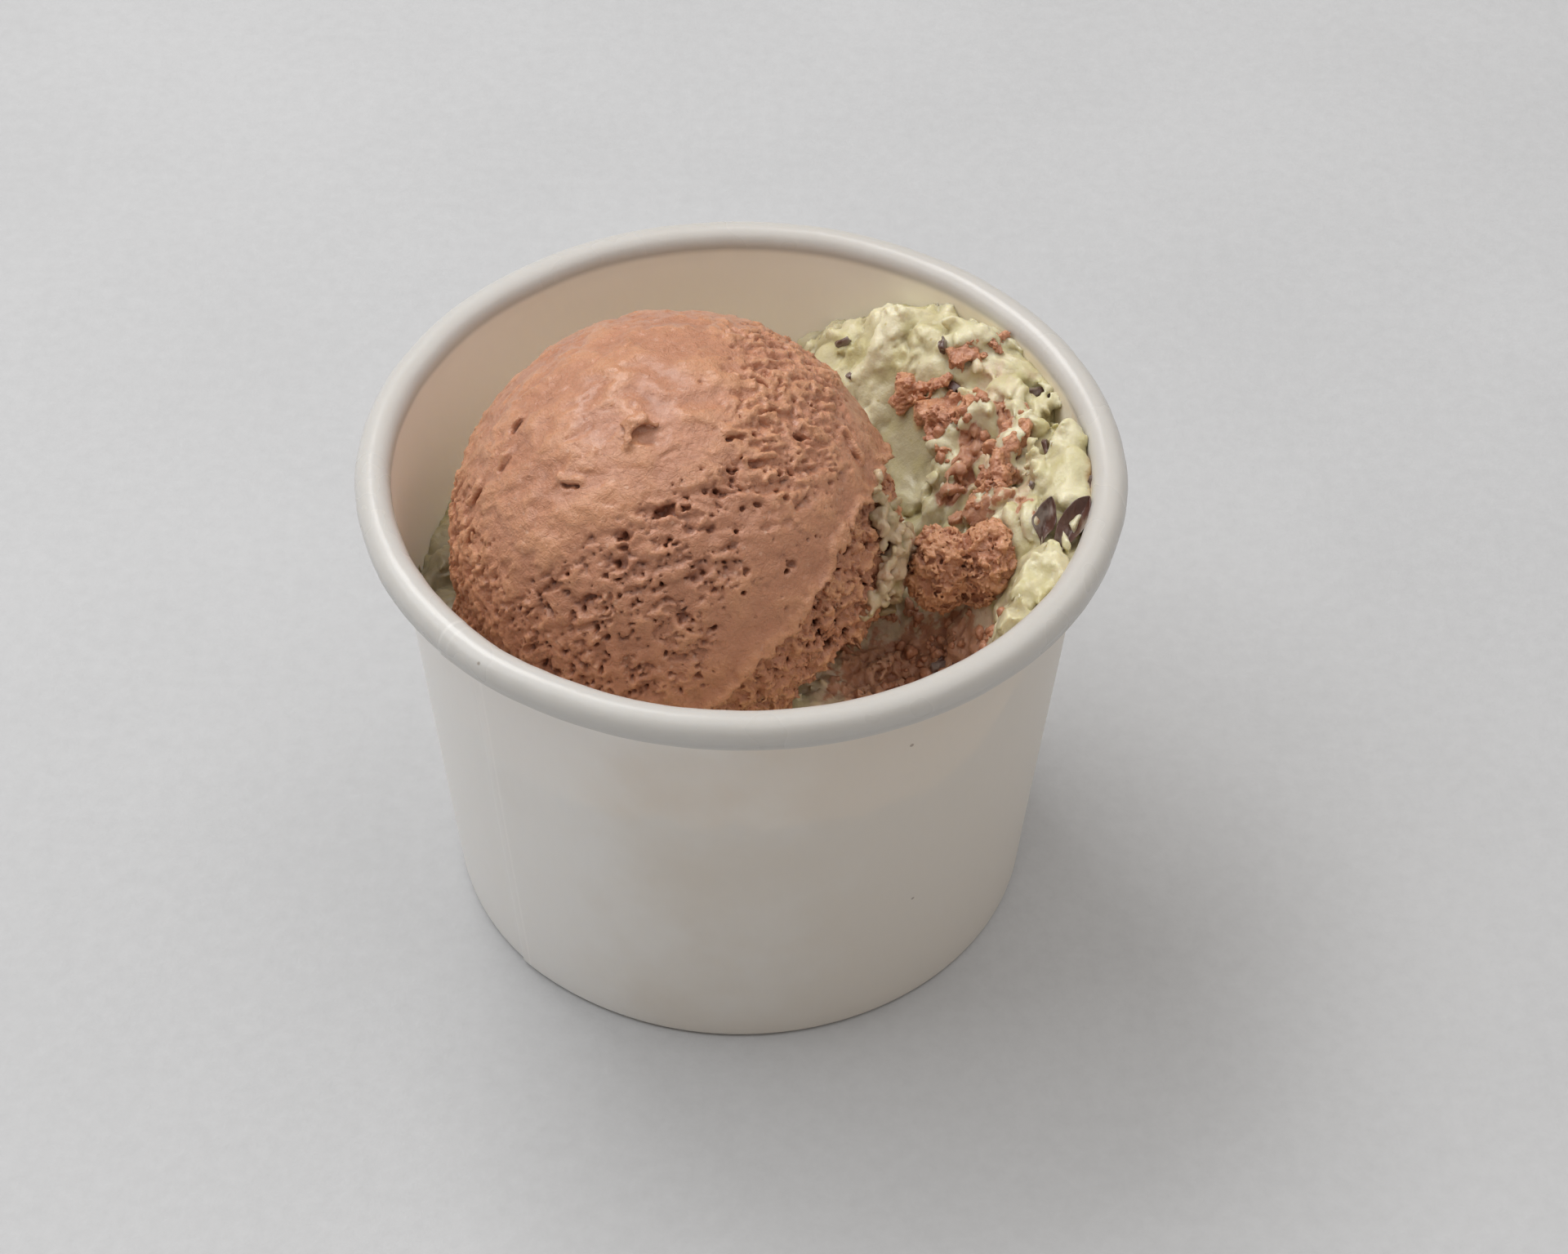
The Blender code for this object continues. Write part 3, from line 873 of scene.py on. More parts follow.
# ---------------------------------------------------------------- the chocolate scoop

SCOOP_CENTRE = Vector((-7.1, -3.75, 50.0))
SCOOP_RADIUS = 24.7
SCOOP_LOBES = [
    ((17.5, -13.0, -10.5), (6.5, 8.5, 8.0)),
    ((15.0, 0.5, 0.5), (11.0, 12.0, 13.0)),
    ((-12.0, -6.0, -9.0), (13.0, 14.0, 9.0)),
]
# The smooth plate that the scoop pressed: its middle, how far it reaches and the step at its edge
PLATE_CENTRE = Vector((-0.42, -0.62, 0.66)).normalized()
PLATE_SIZE = math.radians(61.0)
PLATE_STEP = 1.3
DRAG = Vector((0.93, 0.12, 0.34)).normalized()
# The skin's relief is laid out flat round this pole, with its first axis along the drag
SKIN_POLE = Vector((-0.08, -0.50, 0.86)).normalized()
SKIN_ALONG = (DRAG - SKIN_POLE * DRAG.dot(SKIN_POLE)).normalized()
SKIN_ACROSS = SKIN_POLE.cross(SKIN_ALONG)
# The porous band lies along a circle on the ball: its slant and how far it lies off centre
BAND = Vector((-0.49, 0.568, 0.526))
# Small torn flaps: where on the ball, which way they run and how long they are in mm
FLAPS = [
    ((-0.69, -0.07, 0.72), (0.5, 0.5, 0.4), 2.4),
    ((-0.73, -0.21, 0.64), (0.6, 0.3, 0.4), 2.6),
    ((-0.86, -0.22, 0.46), (0.3, 0.2, 0.8), 3.0),
    ((-0.88, -0.33, 0.34), (0.2, -0.1, 0.9), 2.6),
    ((-0.43, -0.47, 0.77), (0.9, -0.3, 0.1), 2.4),
    ((0.26, -0.33, 0.91), (0.9, 0.1, 0.1), 3.0),
    ((0.36, -0.41, 0.84), (0.9, 0.3, 0.0), 3.4),
    ((0.77, -0.09, 0.63), (0.6, -0.5, -0.5), 4.0),
    ((0.38, -0.01, 0.93), (0.9, -0.2, -0.2), 2.0),
]
# Kinds of pore: how far apart they lie, how much the drag draws them out, smallest and largest
# radius, depth as a share of the radius, and how much of the crowd they fill; lengths in mm
PORES = [
    (2.7, 0.60, 0.28, 0.80, 0.9, 0.45),
    (1.30, 0.80, 0.18, 0.40, 1.7, 0.85),
    (0.80, 0.85, 0.13, 0.27, 1.9, 1.0),
]
# The knob where the scoop let go, and from there its pit and the start, end and radius of its parts
KNOB_TOP = Vector((-10.9, -12.2, 73.5))
KNOB_PIT = (Vector((1.2, -1.3, -0.1)), (1.7, 0.8, 1.2))
KNOB_PARTS = [
    ((-0.7, 0.1, 0.2), (0.6, 0.5, 0.5), 0.72),
    ((0.4, 0.5, 0.3), (2.3, 0.5, -0.4), 0.36),
    ((-0.7, 0.0, 0.2), (-0.9, -2.0, -0.9), 0.38),
    ((-0.7, 0.3, 0.2), (-1.7, 0.7, -0.2), 0.30),
]
# Layers of the carving grid below and above the ball's skin, and the height of its flat cut, in mm
SCOOP_LAYERS = (-2.6, 1.9)
SCOOP_CUT = 37.5
# How much of the grid's lowest layer is left off, in mm
LAYER_TRIM = 0.5


class ScoopForm:
    """What the scoop's form and relief are worked out from at a place."""

    def __init__(self, sheet, place):
        offset = place - tuple(SCOOP_CENTRE)
        self.sheet = sheet
        self.place = place
        self.reach = offset.length()
        self.facing = offset.unit()
        x, y, z = self.facing.parts()
        along, across = self.facing.dot(tuple(SKIN_ALONG)), self.facing.dot(tuple(SKIN_ACROSS))
        arc = self.facing.dot(tuple(SKIN_POLE)).unary('ARCCOSINE') * SCOOP_RADIUS
        arc = arc / (along * along + across * across + 0.00001) ** 0.5
        self.along, self.across = along * arc, across * arc
        self.skin = self.drawn_out(1.0)
        self.broad = sheet.noise(self.skin, 5.5, 1.0, flat=True)
        # The place shifted unevenly, so that what is put there comes out ragged
        self.warped = place + 0.7 * sheet.swirl(place, 1.6)

        ragged = 0.085 * self.broad + 0.070 * sheet.noise(self.skin, 1.7, 3.0, 0.6, flat=True)
        undercut = 0.10 * (SCOOP_RADIUS - self.reach).most(0.0) / PLATE_STEP
        away = (math.cos(PLATE_SIZE) - self.facing.dot(tuple(PLATE_CENTRE))) / math.sin(PLATE_SIZE)
        away = away - 0.9 * (y + 0.75).most(0.0) ** 1.35 - 0.085 * y.rise(-0.93, -0.75) + 0.02
        self.beyond = away + ragged + undercut
        self.stepped = x.rise(-0.1, 0.2) * z.rise(0.8, 0.55)
        self.off_plate = self.beyond.rise(0.0, 0.02) * self.stepped
        self.band = self.facing.dot(tuple(BAND)) + 0.05 * self.broad

        self.plate = away.rise(-0.45, -0.25) * z.rise(0.80, 0.6) * x.rise(0.05, 0.3)
        right_crumb = (x + 0.45 * z + 0.10 * self.broad).rise(0.52, 0.80) * (1.0 - self.plate)
        left_crumb = (x + 0.08 * self.broad).rise(-0.62, -0.84) * z.rise(0.55, 0.3)
        self.crumb = right_crumb.most(left_crumb * 0.8)
        self.torn = self.off_plate.most(self.crumb * 0.55)

    def drawn_out(self, keep):
        """The skin laid flat and shrunk along the drag, so that what is put on it comes out long."""
        return self.sheet.join(self.along * keep, self.across, 0.0)

    def smooth_depth(self):
        """Depth below the ball, its torn skirt and its stepped plate, without relief."""
        depth = SCOOP_RADIUS - self.reach
        for centre, radii in SCOOP_LOBES:
            depth = depth.smooth_most(ellipsoid(self.place, SCOOP_CENTRE + Vector(centre), radii), 2.0)
        return depth - PLATE_STEP * self.off_plate

    def lip(self):
        """The plate's raised edge and the groove behind it."""
        edge = 0.45 * self.beyond.rise(-0.07, -0.02) * self.beyond.rise(0.02, 0.0)
        groove = 0.8 * self.beyond.rise(0.01, 0.03) * self.beyond.rise(0.14, 0.05)
        return (edge - groove) * self.stepped

    def crowd(self):
        """Where the pores gather, from 0 to 1."""
        porous = self.band.rise(0.16, 0.04) * self.band.rise(-0.78, -0.34)
        spots = self.sheet.noise(self.skin, 2.4, 1.0, flat=True)
        patches = (self.broad + 0.8 * spots + 0.4).rise(0.0, 0.75)
        skin = porous * (0.12 + 0.88 * patches) * (1.0 - 0.75 * self.plate)
        return skin.most(self.crumb * 0.5).most(self.off_plate * 0.5)

    def leather(self):
        """Soft dents, drag lines and fine wrinkles of the skin."""
        sheet = self.sheet
        dents = sheet.noise(self.drawn_out(0.7), 2.6, 4.0, 0.6, 0.5, flat=True)
        lines = sheet.noise(self.drawn_out(0.3), 1.1, 2.0, 0.6, 0.4, flat=True)
        waves = sheet.noise(self.drawn_out(0.5), 2.4, 1.0, 0.5, 0.8, flat=True)
        ridges = 0.16 - waves.unary('ABSOLUTE')
        return 0.55 * dents + 0.12 * lines + 0.9 * ridges.most(0.0)

    def broken_skin(self, depth, crowd):
        """Sinks torn, long-drawn patches of skin by a fraction of a millimetre."""
        flake = self.sheet.noise(self.drawn_out(0.42), 1.4, 3.0, 0.62, flat=True)
        broken = (flake + 0.4 * crowd).rise(0.24, 0.36) * crowd.rise(0.1, 0.4)
        return depth - 0.42 * broken

    def pores(self, depth, crowd, factor):
        """Cuts round pores and long cavities into the skin."""
        swirl = self.sheet.swirl(self.skin, 1.2, flat=True)
        for apart, keep, smallest, largest, tall, share in PORES:
            scattered = self.drawn_out(keep) + 0.25 * swirl + apart * 10.0
            distance, size, chance = self.sheet.scatter(scattered, apart)
            present = (crowd * share - chance).rise(-0.04, 0.06)
            radius = (smallest + (largest - smallest) * size * size) * factor
            below = (depth - 0.3 * radius) / tall
            hole = (distance * distance + below * below) ** 0.5 - radius * present
            depth = depth.smooth_least(hole, 0.06)
        return depth

    def flaps(self, depth):
        """Small curled flaps, each with a dent beside it."""
        place = self.warped
        for facing, heading, length in FLAPS:
            facing = Vector(facing).normalized()
            run = Vector(heading)
            run = (run - facing * run.dot(facing)).normalized() * 0.5 * length
            side = facing.cross(run).normalized()
            middle = SCOOP_CENTRE + facing * (SCOOP_RADIUS - 0.1)
            dent = rod(place, middle - side * 0.5 - run * 0.6, middle - side * 0.5 + run * 0.5, 0.5)
            depth = depth.smooth_least(-dent, 0.4)
            depth = depth.smooth_most(rod(place, middle - run + facing * 0.05, middle + run, 0.40), 0.45)
        return depth

    def knob(self, depth):
        """The ragged little knob where the scoop let go, and the pit beside it."""
        place = 1.6 * self.warped - 0.6 * self.place
        pit = ellipsoid(self.place, KNOB_TOP + KNOB_PIT[0], KNOB_PIT[1])
        depth = depth.smooth_least(-pit, 0.3)
        for start, end, radius in KNOB_PARTS:
            part = rod(place, KNOB_TOP + Vector(start), KNOB_TOP + Vector(end), radius)
            depth = depth.smooth_most(part, 0.3)
        return depth


def scoop_shape(factor_pore, factor_crumb):
    """The scoop with all its relief, cut flat below."""
    def shape(sheet, place):
        form = ScoopForm(sheet, place)
        depth = form.smooth_depth() + form.lip() + 0.45 * form.broad
        fine = sheet.noise(place, 0.75, 3.0, 0.65, 0.5)
        flakes = sheet.noise(place, 1.5, 3.0, 0.62, 0.6)
        terraces = flakes.rise(-0.14, 0.04) + 0.6 * flakes.rise(0.16, 0.30)
        torn = form.torn * factor_crumb
        depth = depth + torn * (0.55 * terraces + 0.60 * fine - 0.45) + form.crumb * 0.2
        depth = depth + (1.0 - 0.6 * form.torn) * (1.0 - 0.5 * form.plate) * form.leather()
        crowd = form.crowd()
        depth = form.broken_skin(depth, crowd)
        depth = form.pores(depth, crowd, factor_pore)
        depth = form.flaps(depth)
        depth = form.knob(depth)
        return depth.least(place.parts()[2] - SCOOP_CUT)
    return shape


def scoop_marks():
    def hollow(sheet, place):
        return ScoopForm(sheet, place).smooth_depth()

    def torn(sheet, place):
        return ScoopForm(sheet, place).torn
    return {"hollow": hollow, "torn": torn}


def ray_reach(facing, centre, radii):
    """How far from the ball's centre a ray leaves a lobe, or passes it by."""
    shrink = tuple(1.0 / radius for radius in radii)
    ray = facing * shrink
    to_lobe = Vector(centre) * Vector(shrink)
    near = ray.dot(tuple(to_lobe))
    square = ray.dot(ray)
    rest = near * near - square * (to_lobe.length_squared - 1.0)
    return (near + rest.most(0.0) ** 0.5) / square


def wrap_ball(sheet, place):
    """Wraps a flat grid round the scoop: x and y run along its skin and z out of it."""
    u, v, w = place.parts()
    arc = (u * u + v * v + 0.0001) ** 0.5
    angle = arc / SCOOP_RADIUS
    share = angle.unary('SINE') / arc
    facing = sheet.join(u * share, v * share, angle.unary('COSINE'))
    reach = SCOOP_RADIUS
    for centre, radii in SCOOP_LOBES:
        reach = ray_reach(facing, centre, radii).smooth_most(reach, 2.0)
    return facing * (reach + w) + tuple(SCOOP_CENTRE)


class GELATO_OT_scoop(bpy.types.Operator):
    """Carve the chocolate scoop with its plate edge, pores, flaps and torn skirt"""

    bl_idname = "gelato.scoop"
    bl_label = "Chocolate Scoop"

    def execute(self, context):
        settings = context.scene.gelato_filling
        arc = SCOOP_RADIUS * math.acos((SCOOP_CUT - SCOOP_CENTRE.z) / SCOOP_RADIUS) + 2.0
        inner, outer = SCOOP_LAYERS
        across = int(2.0 * arc / settings.voxel)
        steps = (across, across, int((outer - inner) / settings.voxel) + 1)
        shape = scoop_shape(settings.pore, settings.crumb)
        box = ((-arc, -arc, inner), (arc, arc, outer))
        body = grow_volume("scoop_ball", shape, box, steps, wrap_ball, inner + LAYER_TRIM)
        seed = SCOOP_CENTRE + Vector((0.0, 0.0, SCOOP_RADIUS))
        finish_carving(body, seed, MOST_TRIANGLES, scoop_marks())
        close_rim(body)
        body.data.materials.append(shared_material("gelato_chocolate"))
        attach(body, "root")
        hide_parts("chocolate_scoop")
        return {'FINISHED'}


# ---------------------------------------------------------------- the pistachio gelato

# The flat bed's height, and the bank's rise over it, its direction and how far round it reaches
BED_HEIGHT = 38.5
BANK_RISE = 17.5
BANK_DIRECTION = math.radians(20.0)
BANK_SPREAD = math.radians(58.0)
# Bulges of the bank: direction in degrees, distance from the axis, width and rise in mm
BANK_BULGES = [
    (72.0, 33.0, 4.0, 2.0),
    (58.0, 33.0, 4.5, 1.6),
    (43.0, 32.5, 4.5, 1.8),
    (29.0, 31.0, 4.0, 1.2),
    (3.0, 35.5, 3.4, 2.4),
    (7.0, 30.5, 3.2, -2.4),
    (-20.0, 34.0, 3.5, 2.8),
    (-31.0, 34.5, 3.5, 6.0),
    (-38.0, 35.0, 2.5, 4.5),
    (17.0, 37.5, 3.2, -4.5),
    (50.0, 24.0, 4.0, -2.0),
]
# The hollow between the bank and the scoop
HOLLOW_CENTRE = (21.5, -13.5)
HOLLOW_RADIUS = 8.5
HOLLOW_DEPTH = 7.0
# Lobes of cream that stand out of the bank: centre and half sizes in mm
CREAM_LOBES = [
    ((37.0, 3.8, 55.6), (1.6, 2.0, 2.4)),
    ((36.4, 1.4, 55.4), (2.1, 2.6, 2.2)),
    ((35.2, -1.4, 54.8), (2.5, 2.6, 2.2)),
    ((32.8, -2.4, 53.4), (2.6, 1.9, 1.6)),
    ((36.4, -3.8, 54.4), (2.0, 1.8, 2.0)),
    ((32.9, 8.9, 54.4), (2.2, 1.4, 1.6)),
    ((22.6, 10.4, 46.6), (1.5, 1.9, 2.1)),
    ((21.9, 7.8, 44.6), (1.3, 1.3, 1.4)),
    ((32.6, -12.6, 51.6), (2.2, 2.4, 3.0)),
    ((30.8, -15.4, 51.0), (2.0, 3.0, 3.0)),
    ((29.4, -18.6, 51.2), (1.7, 3.0, 3.2)),
    ((33.4, -13.6, 53.0), (1.5, 3.2, 2.0)),
    ((15.5, 29.5, 48.6), (3.4, 3.4, 3.0)),
    ((22.0, 27.0, 52.6), (3.4, 3.2, 2.6)),
    ((28.0, 22.4, 54.9), (2.8, 2.4, 2.0)),
    ((30.6, 15.4, 54.6), (2.0, 3.0, 1.6)),
]
# Drawn-out folds of cream: start, end and radius in mm
CREAM_FOLDS = [
    ((22.8, 13.0, 48.6), (27.6, 12.8, 54.2), 0.95),
    ((31.8, 11.6, 54.6), (35.2, 12.6, 54.6), 1.25),
    ((33.8, 12.9, 54.9), (35.4, 11.0, 54.0), 0.9),
    ((29.6, 13.6, 54.9), (32.4, 9.8, 54.9), 0.8),
    ((31.9, 4.6, 55.6), (32.8, 0.6, 55.2), 0.9),
    ((30.9, -13.0, 52.9), (29.0, -20.6, 52.4), 0.8),
    ((33.2, -12.6, 54.2), (31.2, -19.2, 53.6), 0.7),
    ((17.0, 24.5, 49.8), (20.5, 22.5, 51.8), 1.0),
    ((24.0, 25.2, 56.2), (28.4, 21.8, 57.2), 0.9),
]
# Folds of chocolate worked into the bank: start, end and radius in mm
COCOA_FOLDS = [
    ((26.8, 13.0, 52.4), (24.8, 7.2, 47.8), 1.3),
    ((30.4, 9.8, 54.0), (28.8, 4.4, 51.8), 1.5),
    ((28.9, 5.4, 51.8), (27.1, 0.8, 48.8), 1.5),
    ((25.1, 3.2, 47.4), (28.8, 0.0, 51.4), 1.2),
    ((22.9, 8.8, 45.6), (24.2, 6.8, 46.4), 0.8),
    ((28.0, 14.4, 54.2), (30.6, 11.8, 54.9), 0.7),
    ((31.2, -2.2, 53.2), (32.6, -4.4, 53.8), 0.9),
]
# Holes and gaps: centre and half sizes in mm
CREAM_GAPS = [
    ((37.3, 9.4, 54.6), (2.0, 4.6, 4.4)),
    ((33.7, 15.0, 54.9), (2.0, 1.4, 1.3)),
    ((26.6, 17.2, 54.9), (2.7, 1.5, 1.5)),
    ((24.2, 17.6, 52.9), (1.1, 1.0, 1.1)),
    ((33.4, 4.8, 55.4), (1.3, 1.3, 1.8)),
    ((25.6, 4.9, 48.0), (1.3, 1.2, 1.3)),
    ((28.0, 9.2, 51.0), (0.7, 3.0, 1.5)),
    ((31.9, -15.9, 52.0), (0.6, 2.4, 2.4)),
    ((38.6, 0.4, 56.6), (0.9, 4.4, 2.4)),
    ((24.2, 11.6, 48.4), (0.6, 1.6, 1.3)),
    ((31.2, 10.2, 54.9), (0.6, 0.6, 0.7)),
]
# Layers of the carving grid below and above the cream's smooth surface
CREAM_LAYERS = (-4.0, 3.6)
# The grid is this many times wider in x left of this place, where only the bed lies
BED_SIDE = 8.0
BED_WIDEN = 2.0


def flat_hump(x, y, centre, width):
    """1 at the centre on plan, falling off smoothly with the width."""
    away_x, away_y = x - centre[0], y - centre[1]
    return ((away_x * away_x + away_y * away_y) * (-1.0 / width ** 2)).unary('EXPONENT')


def cream_height(sheet, x, y):
    """Height of the pistachio gelato's free surface above (x, y), without lobes."""
    turned_x = x * math.cos(BANK_DIRECTION) + y * math.sin(BANK_DIRECTION)
    turned_y = y * math.cos(BANK_DIRECTION) - x * math.sin(BANK_DIRECTION)
    turn = turned_y.maths('ARCTAN2', turned_y, turned_x) * (1.0 / BANK_SPREAD)
    bank = (turn * turn * turn * turn * -1.0).unary('EXPONENT')
    distance = (x * x + y * y) ** 0.5
    height = BED_HEIGHT + BANK_RISE * bank * distance.rise(15.0, 36.0)
    height = height - HOLLOW_DEPTH * flat_hump(x, y, HOLLOW_CENTRE, HOLLOW_RADIUS)
    for degrees, away, width, rise in BANK_BULGES:
        angle = math.radians(degrees)
        centre = (away * math.cos(angle), away * math.sin(angle))
        height = height + rise * flat_hump(x, y, centre, width)
    return height


def fold_depth(sheet, place, folds, rough):
    """Depth below folds whose course is made uneven by rough mm."""
    place = place + rough * sheet.swirl(place, 2.4)
    depth = rod(place, *folds[0])
    for start, end, radius in folds[1:]:
        depth = depth.smooth_most(rod(place, start, end, radius), 0.4)
    return depth


def cream_depth(sheet, place):
    """Depth below the pistachio gelato's smooth form."""
    x, y, z = place.parts()
    depth = (cream_height(sheet, x, y) - z) * 0.75
    turned = place + 1.3 * sheet.swirl(place, 3.2)
    for centre, radii in CREAM_LOBES:
        depth = depth.smooth_most(ellipsoid(turned, centre, radii), 1.2)
    depth = depth.smooth_most(fold_depth(sheet, place, CREAM_FOLDS, 1.6), 0.7)
    depth = depth.smooth_most(fold_depth(sheet, place, COCOA_FOLDS, 2.2), 0.5)
    for centre, radii in CREAM_GAPS:
        depth = depth.smooth_least(-ellipsoid(turned, centre, radii), 0.5)
    return depth


def scraped(place):
    """1 on the smooth wall that the scoop left between the ball and the bank."""
    return hump(place * (1.0, 0.6, 0.6), (18.5, 10.0, 28.0), 7.0)


def calm(place):
    """1 where the cream is smooth: the scraped wall and the two tongues by the rim."""
    tongue = hump(place * (1.0, 0.8, 0.8), (35.6, 0.2, 44.6), 5.2)
    front = hump(place * (1.0, 0.6, 0.8), (31.0, -9.6, 42.0), 4.6)
    return scraped(place).most(tongue).most(front)


def smeared(sheet, place):
    """How much chocolate is worked into the cream: a tint from 0.2 and solid from 0.6."""
    drawn = place + 1.4 * sheet.swirl(place, 4.0)
    streaks = sheet.noise(drawn * (1.0, 0.45, 0.7), 1.7, 3.0, 0.6)
    pale = hump(place, (30.5, 1.5, 52.5), 6.5) * 0.42
    foot = hump(place * (0.8, 0.8, 0.7), (15.2, -11.5, 26.6), 13.5) * 1.35
    side = hump(place, (27.5, 6.0, 50.5), 6.5) * 0.45
    specks = hump(place, (28.5, 17.0, 55.5), 8.0) * 0.28
    field = pale.most(foot).most(side).most(specks)
    folds = fold_depth(sheet, place, COCOA_FOLDS, 2.2).rise(-0.75, -0.2) * 0.85
    return folds.most(field + (0.65 * streaks - 0.05) * (field * 3.0).least(1.0))


def cream_shape(sheet, place):
    """The cream with billows, folds and curds, torn where chocolate is worked in, up to the wall."""
    x, y, z = place.parts()
    depth = cream_depth(sheet, place)
    rough = 1.0 - 0.8 * calm(place)
    turned = place + 1.5 * sheet.swirl(place, 5.0)
    billows = sheet.noise(turned, 6.5, 1.0).unary('ABSOLUTE')
    drawn = (turned - 0.35 * place) * (1.5, 1.1, 1.5)
    folds = sheet.noise(drawn, 2.5, 2.0, 0.5).unary('ABSOLUTE')
    curds = 0.75 - sheet.cells(place + 0.7 * sheet.swirl(place, 2.2), 1.8)
    curdled = sheet.noise(place, 5.0, 1.0).rise(0.0, 0.25)
    worked = smeared(sheet, place).rise(0.35, 0.8)
    flakes = sheet.noise(place, 1.7, 3.0, 0.6, 0.6)
    fine = sheet.noise(place, 0.9, 3.0, 0.62, 0.4)
    torn = 0.5 * (flakes.rise(-0.14, 0.04) + 0.6 * flakes.rise(0.16, 0.30)) + 0.8 * fine - 0.35
    depth = depth + rough * (3.4 * (billows - 0.11) + 1.5 * (folds - 0.11) + 0.35 * curdled * curds)
    depth = depth + worked * torn * 1.1 + 0.12 * fine
    distance = (x * x + y * y) ** 0.5
    return depth.least(wall_radius(z) + 0.12 - distance)


def lay_on_bank(sheet, place):
    """Lays a flat grid on the bank: z runs up from the cream's smooth surface."""
    x, y, z = place.parts()
    x = x + (x - BED_SIDE).least(0.0) * (BED_WIDEN - 1.0)
    return sheet.join(x, y, cream_height(sheet, x, y) + z)


def cream_marks():
    """How deep in the creases a point lies, where the cream is smeared and stained, and where it gets
    painted grey shade.
    """
    def stain(sheet, place):
        ragged = sheet.noise(place, 1.6, 2.0)
        line = hump(place * (1.0, 0.5, 0.8), (38.4, 0.0, 44.8), 2.6)
        crust = hump(place, (31.4, -3.4, 53.4), 2.2)
        rims = hump(place, (24.5, 18.0, 52.6), 2.4).most(hump(place, (33.2, 14.9, 55.0), 1.9))
        spots = hump(place, (20.2, 17.4, 48.4), 1.8).most(hump(place, (31.2, 10.2, 54.9), 0.9))
        return (line.most(crust).most(rims).most(spots) + 0.35 * ragged).rise(0.3, 0.75)

    # Painted shade: the scraped wall, the gap by the wall, the cream under the scoop's sides and the front
    # tongue turn grey
    def grey(sheet, place):
        side = hump(place, (17.5, -4.0, 41.0), 9.0)
        gap = hump(place, (36.6, 8.6, 53.5), 3.4)
        left = hump(place, (-34.0, 2.0, 39.0), 16.0) * 1.4
        front = hump(place, (32.0, -10.0, 43.0), 6.0) * 0.45
        field = scraped(place).most(side).most(gap).most(left).most(front)
        return field * (0.9 + 0.4 * sheet.noise(place, 3.0))
    return {"hollow": cream_depth, "smear": smeared, "stain": stain, "grey": grey}


class GELATO_OT_pistachio(bpy.types.Operator):
    """Carve the pistachio gelato: the plug in the cup, the bank and its lobes of cream"""

    bl_idname = "gelato.pistachio"
    bl_label = "Pistachio Gelato"

    def execute(self, context):
        settings = context.scene.gelato_filling
        inner, outer = CREAM_LAYERS
        reach = wall_radius(61.0) + 0.5
        left = BED_SIDE - (reach + BED_SIDE) / BED_WIDEN
        box = ((left, -reach, inner), (reach, reach, outer))
        steps = [int((b - a) / settings.voxel) + 1 for a, b in zip(*box)]
        floor = inner + LAYER_TRIM
        body = grow_volume("pistachio_cream", cream_shape, box, steps, lay_on_bank, floor)
        finish_carving(body, (20.0, 30.0, 56.0), MOST_TRIANGLES, cream_marks())
        close_rim(body, (wall_radius(GELATO_BOTTOM / MM) * MM, GELATO_BOTTOM))
        body.data.materials.append(shared_material("gelato_pistachio"))
        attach(body, "root")
        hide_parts("pistachio_gelato")
        return {'FINISHED'}


# Curds of pistachio pressed on the scoop's torn side: start, end and radius of the band in mm
CURD_BAND = [
    ((13.7, -8.0, 62.2), (15.6, -8.6, 57.5), 1.3),
    ((15.6, -8.6, 57.5), (17.4, -8.2, 52.0), 2.3),
    ((17.4, -8.2, 52.0), (18.2, -5.0, 44.0), 3.6),
    ((16.6, -11.5, 52.5), (14.0, -16.6, 50.2), 1.7),
    ((18.0, -5.0, 45.0), (18.6, -1.0, 40.0), 3.4),
]
CURD_BOX = ((10.0, -20.0, 37.0), (23.0, 3.5, 65.0))
CURD_GRID = 0.24
CURD_TRIANGLES = 60000


def curd_cells(sheet, place):
    """Distance in mm to the middle of the nearest curd."""
    return sheet.cells(place + 0.6 * sheet.swirl(place, 1.6), 1.45)


def curd_shape(sheet, place):
    """Knobs of curd in a thin coat over the scoop's surface."""
    over = ScoopForm(sheet, place).smooth_depth() + 0.75
    coat = 1.05 - over.unary('ABSOLUTE')
    band = fold_depth(sheet, place, CURD_BAND, 2.4)
    knobs = 0.62 - curd_cells(sheet, place)
    fine = sheet.noise(place, 0.9, 2.0, 0.6)
    return coat.smooth_least(band * 0.8, 0.5) + 1.15 * knobs + 0.4 * fine - 0.2


def curd_marks():
    """The curds lie in the scoop's shade: set deep for painted crease shade and painted grey shade all
    over, and tinted with chocolate.
    """
    def hollow(sheet, place):
        # Set deep everywhere, so the curds get painted crease shade all over
        return curd_cells(sheet, place) + 0.62

    def smear(sheet, place):
        return 0.3 + 0.5 * sheet.noise(place, 3.0, 2.0)

    # Painted grey shade over the curds
    def grey(sheet, place):
        return sheet.noise(place, 2.5, 2.0) * 0.6 + 0.45
    return {"hollow": hollow, "smear": smear, "grey": grey}


class GELATO_OT_curds(bpy.types.Operator):
    """Carve the knobbly band of pistachio curd on the scoop's right side"""

    bl_idname = "gelato.curds"
    bl_label = "Pistachio Curds"

    def execute(self, context):
        seed = (17.6, -8.2, 52.0)
        body = carve("pistachio_curds", curd_shape, CURD_BOX, CURD_GRID, seed, CURD_TRIANGLES, curd_marks())
        body.data.materials.append(shared_material("gelato_pistachio"))
        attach(body, "root")
        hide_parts("pistachio_gelato")
        return {'FINISHED'}


# ---------------------------------------------------------------- the chocolate lump and patches

LUMP_CENTRE = Vector((24.5, -6.3, 47.9))
LUMP_GRID = 0.17
LUMP_TRIANGLES = 110000
# How far the crumb may stand out of the solid in mm
LUMP_MARGIN = Vector((0.8, 0.8, 0.8))
